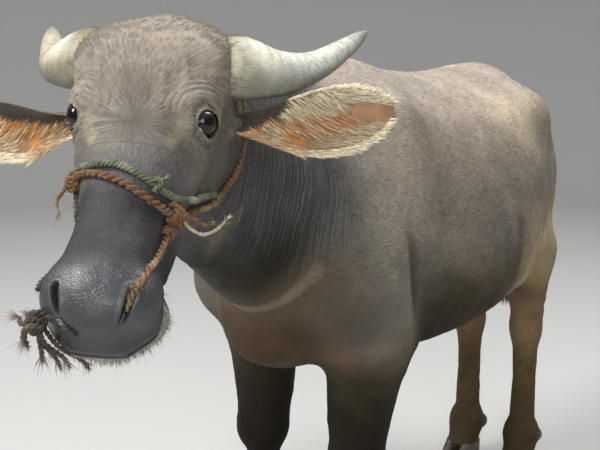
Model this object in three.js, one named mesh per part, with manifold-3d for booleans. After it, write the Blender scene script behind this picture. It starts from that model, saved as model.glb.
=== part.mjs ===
// A young swamp buffalo, life size, standing square with its head turned to its left, in a rope halter.
// Millimetres, +Z up. The animal faces -Y, its left side is +X, and the soles stand on z = 0.
import * as THREE from "three";
import { mergeVertices } from "three/addons/utils/BufferGeometryUtils.js";
import Module from "manifold-3d";

const wasm = await Module();
wasm.setup();

// Driving dimensions
const GAP = 0.3; // left between pieces that touch
const FINE = 0.25; // how far a small piece may move as its needless edges are closed up
const COARSE = 0.8; // the same for hair
const WITHERS_HEIGHT = 1188;
const BACK_HEIGHT = 1162;
const RUMP_HEIGHT = 1184;
const BELLY_HEIGHT = 512;
const BELLY_HALF_WIDTH = 298;
const CHEST_FRONT = -600; // y of the brisket's front
const BUTTOCK = 530; // y of the pin bones
const SPINE_BEND = 2.1e-4; // how the hindquarters swing to the animal's right, per mm
const HEAD_LENGTH = 482; // poll to upper lip
const BROW_HALF_WIDTH = 101;
const EYE = { n: 166, l: 79, u: -39, radius: 21 };
const FORELEG_X = 142;
const FORELEG_Y = -405;
const HIND_FEET = { 1: [98, 392], "-1": [-74, 375] };
const HOOF_HEIGHT = 66;
const ROPE_RADIUS = 5;

// Head frame: its origin is the poll, n runs down the face, l to the animal's left, u out of the face
const POLL = [275, -1032, 1255];
const HEAD_TURN = 35.3; // degrees to the animal's left
const FACE_SLOPE = 44.1; // degrees below level
const HEAD_ROLL = 3.1;

const radians = THREE.MathUtils.degToRad;
const { clamp, lerp } = THREE.MathUtils;
const point = (x, y, z) => new THREE.Vector3(x, y, z);
const bothSides = (make) => [make(1), make(-1)];
const spineX = (y) => (y > 0 ? -SPINE_BEND * y * y : 0);

const HEAD = new THREE.Matrix4().makeTranslation(...POLL)
  .multiply(new THREE.Matrix4().makeRotationZ(radians(HEAD_TURN)))
  .multiply(new THREE.Matrix4().makeRotationX(radians(FACE_SLOPE)))
  .multiply(new THREE.Matrix4().makeRotationY(radians(HEAD_ROLL)))
  .multiply(new THREE.Matrix4().makeBasis(point(0, -1, 0), point(1, 0, 0), point(0, 0, 1)));
const HEAD_INVERSE = HEAD.clone().invert().elements;
const onHead = (n, l, u) => point(n, l, u).applyMatrix4(HEAD);

// Fields: each is a function of x, y, z that is negative inside its form and near the distance outside it

function roundedCone(a, b, radiusA, radiusB) {
  const [dx, dy, dz] = [b.x - a.x, b.y - a.y, b.z - a.z];
  const lengthSquared = dx * dx + dy * dy + dz * dz;
  return (x, y, z) => {
    const [px, py, pz] = [x - a.x, y - a.y, z - a.z];
    const t = clamp((px * dx + py * dy + pz * dz) / lengthSquared, 0, 1);
    return Math.hypot(px - t * dx, py - t * dy, pz - t * dz) - lerp(radiusA, radiusB, t);
  };
}

function column(places, radii) {
  const lengths = places.slice(1).map((b, i) => roundedCone(places[i], b, radii[i], radii[i + 1]));
  return (x, y, z) => lengths.reduce((least, field) => Math.min(least, field(x, y, z)), Infinity);
}

function ellipsoid(centre, radii, turn = new THREE.Euler()) {
  const m = new THREE.Matrix4().makeRotationFromEuler(turn).transpose().elements;
  return (x, y, z) => {
    const [px, py, pz] = [x - centre.x, y - centre.y, z - centre.z];
    const ax = (m[0] * px + m[4] * py + m[8] * pz) / radii.x;
    const ay = (m[1] * px + m[5] * py + m[9] * pz) / radii.y;
    const az = (m[2] * px + m[6] * py + m[10] * pz) / radii.z;
    const reach = Math.hypot(ax, ay, az);
    const slope = Math.hypot(ax / radii.x, ay / radii.y, az / radii.z);
    return slope < 1e-9 ? -Math.min(radii.x, radii.y, radii.z) : (reach * (reach - 1)) / slope;
  };
}

// A smooth curve through the values at the given places
function profile(places, values) {
  const slopes = places.map((_, i) => {
    const [before, after] = [Math.max(i - 1, 0), Math.min(i + 1, places.length - 1)];
    return (values[after] - values[before]) / (places[after] - places[before]);
  });
  return (s) => {
    const q = clamp(s, places[0], places.at(-1));
    let i = 0;
    while (i < places.length - 2 && q > places[i + 1]) i++;
    const span = places[i + 1] - places[i];
    const t = (q - places[i]) / span;
    const [t2, t3] = [t * t, t * t * t];
    return (2 * t3 - 3 * t2 + 1) * values[i] + (t3 - 2 * t2 + t) * span * slopes[i] +
      (3 * t2 - 2 * t3) * values[i + 1] + (t3 - t2) * span * slopes[i + 1];
  };
}

// A form with sections across a straight axis: s along it, w across and h up.
// Each station is [s, top, bottom, half-width, share of the height at the widest level, squareness]
function loft(stations) {
  const places = stations.map((row) => row[0]);
  const curve = (k) => profile(places, stations.map((row) => row[k]));
  const [top, bottom, width, widest, squareness] = [1, 2, 3, 4, 5].map(curve);
  return (s, w, h) => {
    const q = clamp(s, places[0], places.at(-1));
    const [low, high, half, power] = [bottom(q), top(q), width(q), squareness(q)];
    const middle = lerp(low, high, widest(q));
    const rise = h - middle;
    const tall = rise > 0 ? high - middle : middle - low;
    const reach = (Math.abs(w / half) ** power + Math.abs(rise / tall) ** power) ** (1 / power);
    const radius = Math.hypot(w, rise);
    const across = reach < 1e-6 ? -Math.min(half, tall) : radius * (1 - 1 / reach);
    const beyond = Math.abs(s - q);
    return beyond > 0 ? Math.hypot(Math.max(across, 0), beyond) : across;
  };
}

// Forms run together; each part comes with how softly it meets the ones before it
function softUnion(first, rest) {
  return (x, y, z) => {
    let d = first(x, y, z);
    for (const [field, softness] of rest) {
      const e = field(x, y, z);
      const h = Math.max(softness - Math.abs(d - e), 0) / softness;
      d = Math.min(d, e) - h * h * softness * 0.25;
    }
    return d;
  };
}

// Far from the form, the distance to a ball round it stands in for the field
function near(field, centre, radius) {
  const margin = 100;
  return (x, y, z) => {
    const away = Math.hypot(x - centre.x, y - centre.y, z - centre.z) - radius;
    return away > margin ? away : field(x, y, z);
  };
}

// Trunk
const TRUNK = [
  [CHEST_FRONT, 930, 660, 85, 0.45, 2],
  [-540, 1040, 592, 150, 0.45, 2.1],
  [-430, WITHERS_HEIGHT - 14, 550, 200, 0.42, 2.2],
  [-330, WITHERS_HEIGHT, 532, 228, 0.42, 2.1],
  [-180, 1170, BELLY_HEIGHT, 270, 0.42, 2.1],
  [-20, BACK_HEIGHT, BELLY_HEIGHT + 12, BELLY_HALF_WIDTH, 0.42, 2.1],
  [120, BACK_HEIGHT + 10, 556, BELLY_HALF_WIDTH - 12, 0.43, 2.05],
  [230, RUMP_HEIGHT, 610, 242, 0.46, 1.95],
  [320, RUMP_HEIGHT - 6, 654, 200, 0.48, 1.8],
  [400, 1156, 690, 168, 0.48, 1.75],
  [470, 1116, 750, 128, 0.48, 1.75],
  [BUTTOCK, 1050, 820, 95, 0.5, 2],
];

function trunkField() {
  const sections = loft(TRUNK);
  const barrel = (x, y, z) => sections(y, x - spineX(y), z);
  const blade = (side) =>
    ellipsoid(point(side * 158, -395, 905), point(54, 115, 215), new THREE.Euler(-0.25, side * 0.12, 0));
  const upperArm = (side) =>
    ellipsoid(point(side * 168, -455, 740), point(70, 115, 130), new THREE.Euler(0.5, 0, 0));
  const triceps = (side) =>
    ellipsoid(point(side * 180, -345, 740), point(60, 90, 135), new THREE.Euler(-0.35, 0, 0));
  const brisket = ellipsoid(point(0, -500, 652), point(122, 130, 100), new THREE.Euler(0.3, 0, 0));
  const hook = (side) => ellipsoid(point(side * 160 - 15, 262, 1050), point(46, 64, 50));
  const thigh = (side) =>
    ellipsoid(point(side * 118 - 26, 340, 815), point(82, 120, 205), new THREE.Euler(0.12, side * 0.1, 0));
  const buttock = (side) => ellipsoid(point(side * 72 - 46, 440, 920), point(58, 60, 150));
  const flankFold = (side) => roundedCone(point(side * 192 - 12, 245, 740), point(side * 176, 165, 668), 44, 40);
  return softUnion(barrel, [
    ...bothSides(blade).map((f) => [f, 80]),
    ...bothSides(upperArm).map((f) => [f, 70]),
    ...bothSides(triceps).map((f) => [f, 60]),
    [brisket, 70],
    ...bothSides(hook).map((f) => [f, 80]),
    ...bothSides(thigh).map((f) => [f, 80]),
    ...bothSides(buttock).map((f) => [f, 70]),
    ...bothSides(flankFold).map((f) => [f, 70]),
  ]);
}

// Neck: nape, middle and throat, each a bent column from the trunk to the back of the head
function neckFields() {
  const nape = column(
    [point(0, -330, 1095), point(35, -590, 1110), point(135, -810, 1140), onHead(2, 0, -92)],
    [82, 72, 66, 66],
  );
  const middle = column(
    [point(0, -380, 900), point(60, -630, 950), point(150, -820, 1015), onHead(70, 0, -130)],
    [190, 148, 118, 92],
  );
  const throat = column(
    [point(20, -470, 745), point(90, -670, 830), point(185, -860, 920), onHead(125, 0, -168)],
    [138, 104, 78, 58],
  );
  return [[nape, 60], [middle, 70], [throat, 60]];
}

// Legs, each bone a cone between joints
function forelegField(side) {
  const x = side * FORELEG_X;
  const y = FORELEG_Y;
  const forearmTop = point(side * 156, y + 8, 615);
  const knee = point(x, y - 10, 345);
  const fetlock = point(x, y + 2, 125);
  const pastern = point(x, y - 26, HOOF_HEIGHT - 4);
  return softUnion(column([forearmTop, point(x, y - 4, 430), knee], [92, 69, 58]), [
    [roundedCone(point(side * 170, y - 62, 700), forearmTop, 92, 84), 50],
    [ellipsoid(point(side * 174, y + 82, 640), point(46, 54, 62)), 45],
    [ellipsoid(point(x, y - 14, 340), point(55, 57, 60)), 25],
    [column([knee, point(x, y - 6, 240), fetlock], [47, 36, 38]), 25],
    [ellipsoid(fetlock, point(47, 49, 44)), 25],
    [roundedCone(fetlock, pastern, 42, 46), 25],
  ]);
}

function hindlegField(side) {
  const [x, y] = HIND_FEET[side];
  const hock = point(x, y + 8, 445);
  const fetlock = point(x, y + 10, 128);
  const pastern = point(x, y - 8, HOOF_HEIGHT - 4);
  const gaskinTop = point(x + side * 24, y - 56, 690);
  return softUnion(column([gaskinTop, point(x + side * 12, y - 16, 545), hock], [78, 52, 37]), [
    [ellipsoid(point(x + side * 52, y - 112, 665), point(60, 70, 90)), 60],
    [ellipsoid(hock, point(37, 43, 58)), 25],
    [ellipsoid(point(x, y + 44, 484), point(20, 26, 35)), 30],
    [roundedCone(point(x, y + 44, 497), point(x + side * 8, y - 2, 700), 20, 40), 40],
    [column([hock, point(x, y + 12, 300), fetlock], [37, 33, 37]), 25],
    [ellipsoid(fetlock, point(46, 49, 44)), 25],
    [roundedCone(fetlock, pastern, 42, 45), 25],
  ]);
}

// Head, in its own frame
const SKULL = [
  [-20, -62, -120, 80, 0.6, 3],
  [8, -36, -150, 101, 0.68, 3],
  [58, -10, -190, 108, 0.7, 2.9],
  [115, 5, -210, BROW_HALF_WIDTH, 0.7, 2.5],
  [172, 2, -212, 90, 0.7, 2.5],
  [231, -5, -196, 74, 0.68, 2.4],
  [292, -9, -174, 59, 0.66, 2.3],
  [349, -12, -157, 55, 0.62, 2.3],
  [407, -16, -150, 63, 0.55, 2.4],
  [450, -34, -138, 60, 0.53, 2.3],
  [HEAD_LENGTH, -68, -112, 34, 0.5, 2],
];

function skullField() {
  const poll = (side) => ellipsoid(point(38, side * 50, -43), point(48, 56, 32));
  const brow = (side) => ellipsoid(point(150, side * 73, -41), point(48, 27, 38));
  const cheek = (side) => ellipsoid(point(166, side * 54, -142), point(84, 34, 62));
  const faceCrest = (side) => roundedCone(point(210, side * 69, -76), point(292, side * 48, -84), 18, 13);
  const jawBone = (side) => roundedCone(point(122, side * 42, -186), point(336, side * 28, -146), 27, 21);
  const hornRoot = (side) => ellipsoid(point(60, side * 92, -50), point(44, 25, 40));
  const muzzlePad = ellipsoid(point(430, 0, -48), point(48, 62, 38));
  const nostrilWing = (side) => ellipsoid(point(426, side * 48, -56), point(35, 24, 30));
  const upperLip = ellipsoid(point(443, 0, -88), point(40, 62, 31));
  const chin = ellipsoid(point(410, 0, -134), point(52, 66, 32));
  return softUnion(loft(SKULL), [
    ...bothSides(poll).map((f) => [f, 30]),
    ...bothSides(brow).map((f) => [f, 22]),
    ...bothSides(cheek).map((f) => [f, 30]),
    ...bothSides(faceCrest).map((f) => [f, 24]),
    ...bothSides(jawBone).map((f) => [f, 24]),
    ...bothSides(hornRoot).map((f) => [f, 20]),
    [muzzlePad, 20],
    ...bothSides(nostrilWing).map((f) => [f, 14]),
    [upperLip, 18],
    [chin, 14],
  ]);
}

const skull = skullField();

function headField(x, y, z) {
  const m = HEAD_INVERSE;
  const n = m[0] * x + m[4] * y + m[8] * z + m[12];
  const l = m[1] * x + m[5] * y + m[9] * z + m[13];
  const u = m[2] * x + m[6] * y + m[10] * z + m[14];
  return skull(n, l, u);
}

const flesh = softUnion(trunkField(), [
  ...neckFields(),
  [near(headField, onHead(230, 0, -100), 330), 40],
  ...bothSides((side) => [near(forelegField(side), point(side * FORELEG_X, FORELEG_Y, 400), 430), 50]),
  ...bothSides((side) => [near(hindlegField(side), point(...HIND_FEET[side], 400), 430), 50]),
]);

// The six tetrahedra of a cell, as corners whose bits are steps along x, y and z, all turned the same way
const TETRAHEDRA = [[0, 1, 3, 7], [0, 5, 1, 7], [0, 3, 2, 7], [0, 2, 6, 7], [0, 4, 5, 7], [0, 6, 4, 7]];
const ONE_INSIDE = [[0, 1, 2, 3], [1, 0, 3, 2], [2, 0, 1, 3], [3, 0, 2, 1]];
const TWO_INSIDE = [[0, 1, 2, 3], [0, 2, 3, 1], [0, 3, 1, 2], [1, 2, 0, 3], [1, 3, 2, 0], [2, 3, 0, 1]];

// The surface of a field inside a box, as one closed mesh of about the given number of triangles
function surfaceOf(field, low, high, cell, count) {
  const [nx, ny, nz] = [0, 1, 2].map((k) => Math.ceil((high[k] - low[k]) / cell) + 1);
  const steps = [1, nx, nx * ny];
  const values = new Float64Array(nx * ny * nz);
  for (let k = 0, at = 0; k < nz; k++)
    for (let j = 0; j < ny; j++)
      for (let i = 0; i < nx; i++, at++) {
        const edge = i === 0 || j === 0 || k === 0 || i === nx - 1 || j === ny - 1 || k === nz - 1;
        const d = field(low[0] + i * cell, low[1] + j * cell, low[2] + k * cell);
        values[at] = edge ? Math.max(d, cell * 0.3) : d;
      }
  const offset = (bits) => (bits & 1) * steps[0] + ((bits >> 1) & 1) * steps[1] + ((bits >> 2) & 1) * steps[2];
  const positions = [];
  const made = new Map();
  function crossing(origin, a, b) {
    const [lowCorner, highCorner] = a < b ? [a, b] : [b, a];
    const from = origin + offset(lowCorner);
    const bits = highCorner ^ lowCorner;
    const key = from * 8 + bits;
    if (made.has(key)) return made.get(key);
    const [d, e] = [values[from], values[origin + offset(highCorner)]];
    const t = clamp(d / (d - e), 0.03, 0.97);
    const place = [from % nx, Math.floor(from / nx) % ny, Math.floor(from / (nx * ny))];
    place.forEach((q, m) => positions.push(low[m] + (q + t * ((bits >> m) & 1)) * cell));
    made.set(key, positions.length / 3 - 1);
    return positions.length / 3 - 1;
  }
  const faces = [];
  for (let k = 0; k < nz - 1; k++)
    for (let j = 0; j < ny - 1; j++)
      for (let i = 0; i < nx - 1; i++) {
        const origin = (k * ny + j) * nx + i;
        for (const corners of TETRAHEDRA) {
          const inside = corners.map((c) => values[origin + offset(c)] < 0);
          const total = inside.filter(Boolean).length;
          if (total === 0 || total === 4) continue;
          const cut = (a, b) => crossing(origin, corners[a], corners[b]);
          if (total === 2) {
            const [a, b, c, d] = TWO_INSIDE.find((order) => inside[order[0]] && inside[order[1]]);
            const quad = [cut(a, c), cut(a, d), cut(b, d), cut(b, c)];
            faces.push([quad[0], quad[1], quad[2]], [quad[0], quad[2], quad[3]]);
          } else {
            const [a, b, c, d] = ONE_INSIDE[inside.indexOf(total === 1)];
            const corner = [cut(a, b), cut(a, c), cut(a, d)];
            faces.push(total === 1 ? corner : corner.reverse());
          }
        }
      }
  const thinned = thin(positions, faces, count);
  settle(field, thinned, low, high, cell);
  return thinned;
}

// Closes up edges, the least missed first, until about the given number of triangles is left
function thin(positions, faces, count) {
  const p = Float64Array.from(positions);
  const at = (v) => [p[3 * v], p[3 * v + 1], p[3 * v + 2]];
  const around = Array.from({ length: p.length / 3 }, () => new Set());
  faces.forEach((face, f) => face.forEach((v) => around[v].add(f)));
  const normal = ([a, b, c]) => {
    const [ux, uy, uz, vx, vy, vz] = [b[0] - a[0], b[1] - a[1], b[2] - a[2], c[0] - a[0], c[1] - a[1], c[2] - a[2]];
    return [uy * vz - uz * vy, uz * vx - ux * vz, ux * vy - uy * vx];
  };
  // Ten sums per vertex that give the squared distance of a place from all the planes met there
  const sums = around.map(() => new Float64Array(10));
  for (const face of faces) {
    const corners = face.map(at);
    const [x, y, z] = normal(corners);
    const size = Math.hypot(x, y, z) || 1;
    const [a, b, c] = [x / size, y / size, z / size];
    const d = -(a * corners[0][0] + b * corners[0][1] + c * corners[0][2]);
    const terms = [a * a, a * b, a * c, a * d, b * b, b * c, b * d, c * c, c * d, d * d];
    for (const v of face) terms.forEach((term, k) => (sums[v][k] += term * size));
  }
  const miss = (q, [x, y, z]) => q[0] * x * x + 2 * q[1] * x * y + 2 * q[2] * x * z + 2 * q[3] * x + q[4] * y * y +
    2 * q[5] * y * z + 2 * q[6] * y + q[7] * z * z + 2 * q[8] * z + q[9];
  function bestPlace(q, a, b) {
    const middle = a.map((value, k) => (value + b[k]) / 2);
    const det = q[0] * (q[4] * q[7] - q[5] * q[5]) - q[1] * (q[1] * q[7] - q[5] * q[2]) +
      q[2] * (q[1] * q[5] - q[4] * q[2]);
    const scale = q[0] + q[4] + q[7];
    if (Math.abs(det) < 1e-4 * scale ** 3) return middle;
    const x = -(q[3] * (q[4] * q[7] - q[5] * q[5]) - q[1] * (q[6] * q[7] - q[5] * q[8]) +
      q[2] * (q[6] * q[5] - q[4] * q[8])) / det;
    const y = -(q[0] * (q[6] * q[7] - q[8] * q[5]) - q[3] * (q[1] * q[7] - q[5] * q[2]) +
      q[2] * (q[1] * q[8] - q[6] * q[2])) / det;
    const z = -(q[0] * (q[4] * q[8] - q[5] * q[6]) - q[1] * (q[1] * q[8] - q[6] * q[2]) +
      q[3] * (q[1] * q[5] - q[4] * q[2])) / det;
    const reach = Math.hypot(a[0] - b[0], a[1] - b[1], a[2] - b[2]);
    return Math.hypot(x - middle[0], y - middle[1], z - middle[2]) < 1.5 * reach ? [x, y, z] : middle;
  }
  const age = new Int32Array(around.length);
  const heap = [];
  const swap = (i, j) => ([heap[i], heap[j]] = [heap[j], heap[i]]);
  function offer(a, b) {
    const q = sums[a].map((value, k) => value + sums[b][k]);
    const place = bestPlace(q, at(a), at(b));
    heap.push({ cost: miss(q, place), a, b, place, age: age[a] + age[b] });
    for (let i = heap.length - 1; i > 0 && heap[(i - 1) >> 1].cost > heap[i].cost; i = (i - 1) >> 1)
      swap(i, (i - 1) >> 1);
  }
  function take() {
    swap(0, heap.length - 1);
    const best = heap.pop();
    for (let i = 0; ; ) {
      let child = 2 * i + 1;
      if (child >= heap.length) break;
      if (child + 1 < heap.length && heap[child + 1].cost < heap[child].cost) child++;
      if (heap[i].cost <= heap[child].cost) break;
      swap(i, child);
      i = child;
    }
    return best;
  }
  const neighbours = (v) => new Set([...around[v]].flatMap((f) => faces[f]).filter((w) => w !== v));
  const folds = (v, other, place) => [...around[v]].some((f) => {
    if (faces[f].includes(other)) return false;
    const before = normal(faces[f].map(at));
    const after = normal(faces[f].map((w) => (w === v ? place : at(w))));
    const sizes = Math.hypot(...before) * Math.hypot(...after);
    return before[0] * after[0] + before[1] * after[1] + before[2] * after[2] < 0.3 * sizes || sizes === 0;
  });
  let left = faces.length;
  for (const face of faces) for (let k = 0; k < 3; k++) if (face[k] < face[(k + 1) % 3]) offer(face[k], face[(k + 1) % 3]);
  while (left > count && heap.length) {
    const { a, b, place, age: then } = take();
    if (!around[a].size || !around[b].size || age[a] + age[b] !== then) continue;
    const [byA, byB] = [neighbours(a), neighbours(b)];
    if (!byA.has(b) || [...byA].filter((v) => byB.has(v)).length !== 2) continue;
    if (folds(a, b, place) || folds(b, a, place)) continue;
    p.set(place, 3 * a);
    sums[b].forEach((value, k) => (sums[a][k] += value));
    for (const f of around[b]) {
      if (faces[f].includes(a)) {
        faces[f].forEach((v) => v !== b && around[v].delete(f));
        faces[f] = null;
        left--;
      } else {
        faces[f] = faces[f].map((v) => (v === b ? a : v));
        around[a].add(f);
      }
    }
    around[b].clear();
    age[a] += age[b] + 1;
    for (const v of neighbours(a)) offer(a, v);
  }
  const kept = faces.filter(Boolean);
  const number = new Map();
  kept.flat().forEach((v) => number.has(v) || number.set(v, number.size));
  return closedMesh([...number.keys()].flatMap(at), kept.flat().map((v) => number.get(v)));
}

// Moves each vertex along the field's slope on to its surface, but for those where the box cuts the form
function settle(field, geometry, low, high, cell) {
  const place = geometry.attributes.position;
  const step = cell * 0.1;
  for (let v = 0; v < place.count; v++) {
    let [x, y, z] = [place.getX(v), place.getY(v), place.getZ(v)];
    if (Math.min(...[x, y, z].map((q, m) => Math.min(q - low[m], high[m] - q))) < 1.6 * cell) continue;
    for (let round = 0; round < 3; round++) {
      const dx = (field(x + step, y, z) - field(x - step, y, z)) / (2 * step);
      const dy = (field(x, y + step, z) - field(x, y - step, z)) / (2 * step);
      const dz = (field(x, y, z + step) - field(x, y, z - step)) / (2 * step);
      const slope = Math.max(dx * dx + dy * dy + dz * dz, 0.2);
      const move = clamp(field(x, y, z) / slope, -0.4 * cell, 0.4 * cell);
      [x, y, z] = [x - dx * move, y - dy * move, z - dz * move];
    }
    place.setXYZ(v, x, y, z);
  }
}

// Closed meshes and solids

function closedMesh(positions, triangles) {
  return new THREE.BufferGeometry()
    .setAttribute("position", new THREE.Float32BufferAttribute(positions, 3))
    .setIndex(triangles);
}

function solidOf(geometry, matrix) {
  const bare = new THREE.BufferGeometry().setAttribute("position", geometry.getAttribute("position").clone());
  if (geometry.index) bare.setIndex(geometry.index.clone());
  const merged = geometry.index ? bare : mergeVertices(bare, 1e-3);
  if (matrix) merged.applyMatrix4(matrix);
  return new wasm.Manifold(new wasm.Mesh({
    numProp: 3,
    vertProperties: new Float32Array(merged.attributes.position.array),
    triVerts: new Uint32Array(merged.index.array),
  }));
}

function geometryOf(solid) {
  const mesh = solid.getMesh();
  return new THREE.BufferGeometry()
    .setAttribute("position", new THREE.BufferAttribute(new Float32Array(mesh.vertProperties), 3))
    .setIndex(new THREE.BufferAttribute(new Uint32Array(mesh.triVerts), 1));
}

const largest = (solid) => solid.decompose().reduce((a, b) => (a.volume() > b.volume() ? a : b));

// The solid with each vertex moved out by a distance
function grown(solid, distance) {
  const geometry = geometryOf(solid);
  geometry.computeVertexNormals();
  const { position, normal } = geometry.attributes;
  for (let i = 0; i < position.count; i++)
    position.setXYZ(i, position.getX(i) + distance * normal.getX(i), position.getY(i) + distance * normal.getY(i),
      position.getZ(i) + distance * normal.getZ(i));
  return solidOf(geometry);
}

// A large block whose only face that matters lies in the plane through a place, on the side the normal points to
function sideOf(place, normal, size = 2400) {
  const turn = new THREE.Quaternion().setFromUnitVectors(point(0, 0, 1), normal.clone().normalize());
  const box = new THREE.BoxGeometry(size, size, size).translate(0, 0, size / 2).applyQuaternion(turn);
  return solidOf(mergeVertices(box.translate(place.x, place.y, place.z).deleteAttribute("normal").deleteAttribute("uv")));
}

// A closed tube of sections along a curve; section(t) lists the ring's points as [sideways, upwards]
function sweep(curve, section, steps, up) {
  const positions = [];
  const sides = section(0).length;
  for (let i = 0; i <= steps; i++) {
    const t = i / steps;
    const centre = curve.getPoint(t);
    const ahead = curve.getTangent(t);
    const sideways = point(0, 0, 0).crossVectors(ahead, up(t)).normalize();
    const upwards = point(0, 0, 0).crossVectors(sideways, ahead);
    for (const [a, b] of section(t))
      positions.push(...centre.clone().addScaledVector(sideways, a).addScaledVector(upwards, b).toArray());
  }
  const triangles = [];
  for (let i = 0; i < steps; i++)
    for (let j = 0; j < sides; j++) {
      const [a, b] = [i * sides + j, i * sides + ((j + 1) % sides)];
      triangles.push(a, a + sides, b, b, a + sides, b + sides);
    }
  const flat = (t) => THREE.ShapeUtils.triangulateShape(section(t).map(([a, b]) => new THREE.Vector2(a, b)), []);
  for (const [a, b, c] of flat(0)) triangles.push(a, b, c);
  for (const [a, b, c] of flat(1)) triangles.push(steps * sides + a, steps * sides + c, steps * sides + b);
  return solidOf(closedMesh(positions, triangles));
}

function oval(halfWidth, halfHeight, sides) {
  return Array.from({ length: sides }, (_, i) => {
    const angle = (2 * Math.PI * i) / sides;
    return [halfWidth * Math.cos(angle), halfHeight * Math.sin(angle)];
  });
}

function ball(centre, radii, detail, turn = new THREE.Quaternion()) {
  const geometry = new THREE.IcosahedronGeometry(1, detail).deleteAttribute("normal").deleteAttribute("uv");
  const matrix = new THREE.Matrix4().compose(centre, turn, radii);
  return solidOf(mergeVertices(geometry, 1e-4), matrix);
}

// Colours of the coat, bare skin, horn, eye and hair
const finish = (color, roughness) => new THREE.MeshStandardMaterial({ color, roughness, metalness: 0 });
const HIDE = finish(0x69635b, 0.75);
const EAR_HIDE = finish(0x9a7f63, 0.8);
const HORN = finish(0xb9b09c, 0.5);
const HOOF = finish(0x2e2a26, 0.55);
const EYE_BLACK = finish(0x0c0b0b, 0.08);
const SWITCH_HAIR = finish(0x35312d, 0.85);

const model = new THREE.Group();

function add(name, solid, material) {
  const mesh = new THREE.Mesh(geometryOf(solid), material);
  mesh.name = name;
  model.add(mesh);
  return solid;
}

// Where the nodes of flesh part: each cut is a plane through a place, with a normal to the outer node's side
const headDirection = (n, l, u) => onHead(n, l, u).sub(onHead(0, 0, 0)).normalize();
const NECK_CUT = [point(20, -560, 900), point(0.1, -0.95, 0.28).normalize()];
const HEAD_CUT = [onHead(-38, 0, -34), headDirection(0.793, 0, 0.61)];
const beyond = ([place, normal], gap = 0) => sideOf(place.clone().addScaledVector(normal, gap), normal);
const before = ([place, normal], gap = 0) => sideOf(place.clone().addScaledVector(normal, -gap), normal.clone().negate());

// The room of a leg: on its own side of the midline, under a slanting cut, and behind or in front of others
function legRoom(side, cut, rooms, gap = 0) {
  const room = rooms.map((cuts) => cuts.map((plane) => beyond(plane, -gap)).reduce((a, b) => a.intersect(b)))
    .reduce((a, b) => a.add(b));
  return room.intersect(beyond([point(side * 14, 0, 0), point(side, 0, 0)], -gap)).intersect(beyond(cut, -gap));
}

const forelegRoom = (side, gap) => legRoom(side,
  [point(side * 160, 0, 612), point(side * 0.56, 0, -0.83).normalize()],
  [[[point(0, -272, 0), point(0, -1, 0)]]], gap);
const hindlegRoom = (side, gap) => legRoom(side,
  [point(HIND_FEET[side][0] + side * 20, 0, 690), point(side * 0.66, 0, -0.75).normalize()],
  [
    [[point(0, 195, 720), point(0, 0.82, 0.57).normalize()]],
    [[point(0, 266, 0), point(0, 1, 0)], [point(0, 0, 545), point(0, 0, -1)]],
  ], gap);

// Torso
const trunk = solidOf(surfaceOf(flesh, [-380, -740, 300], [380, 600, 1290], 22, 2500));
const torso = largest([
  ...bothSides((side) => forelegRoom(side, GAP)),
  ...bothSides((side) => hindlegRoom(side, GAP)),
].reduce((body, block) => body.subtract(block), trunk.intersect(before(NECK_CUT, GAP))));
add("torso", torso, HIDE);

// Neck
const neckFlesh = solidOf(surfaceOf(flesh, [-280, -1200, 560], [480, -400, 1320], 20, 1500));
const neck = largest(neckFlesh.intersect(beyond(NECK_CUT)).intersect(before(HEAD_CUT, GAP)));
add("neck", neck, HIDE);

// Legs
const abovePasterns = [point(0, 0, HOOF_HEIGHT + GAP), point(0, 0, 1)];

function leg(name, side, x, y, room) {
  const xs = side > 0 ? [x - 135, x + 180] : [x - 180, x + 135];
  const flank = surfaceOf(flesh, [xs[0], y[0], 30], [xs[1], y[1], 900], 13, 900);
  const solid = largest(solidOf(flank).intersect(room).intersect(beyond(abovePasterns)));
  return add(name, solid, HIDE);
}

const SIDES = { left: 1, right: -1 };
const legs = {};
for (const [word, side] of Object.entries(SIDES)) {
  legs[`foreleg_${word}`] = leg(`foreleg_${word}`, side, side * FORELEG_X, [-640, -230], forelegRoom(side));
  const [x] = HIND_FEET[side];
  legs[`hindleg_${word}`] = leg(`hindleg_${word}`, side, x, [120, 600], hindlegRoom(side));
}

// Hooves: two claws a foot, each a stack of rings from the flat sole to the coronet, and two dewclaws behind
function claw(x, y, side) {
  const rings = [[0, 1, 0], [14, 0.98, 2], [42, 0.88, 10], [HOOF_HEIGHT, 0.76, 18]];
  const sides = 14;
  const positions = rings.flatMap(([z, scale, back]) => Array.from({ length: sides }, (_, i) => {
    const angle = (2 * Math.PI * i) / sides;
    const toe = Math.cos(angle) > 0 ? 66 : 44;
    const across = Math.sin(angle) > 0 ? 27 : 20; // fuller on the outer side
    const ahead = toe * scale * Math.sign(Math.cos(angle)) * Math.abs(Math.cos(angle)) ** 0.85;
    return [x + side * (24 + across * scale * Math.sin(angle)), y + back - ahead, z];
  }).flat());
  const triangles = [];
  for (let r = 0; r < rings.length - 1; r++)
    for (let i = 0; i < sides; i++) {
      const [a, b] = [r * sides + i, r * sides + ((i + 1) % sides)];
      triangles.push(a, b, a + sides, b, b + sides, a + sides);
    }
  const top = (rings.length - 1) * sides;
  for (let i = 1; i < sides - 1; i++) triangles.push(0, i + 1, i, top, top + i, top + i + 1);
  if (side < 0) triangles.reverse();
  return solidOf(closedMesh(positions.flat(), triangles));
}

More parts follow.
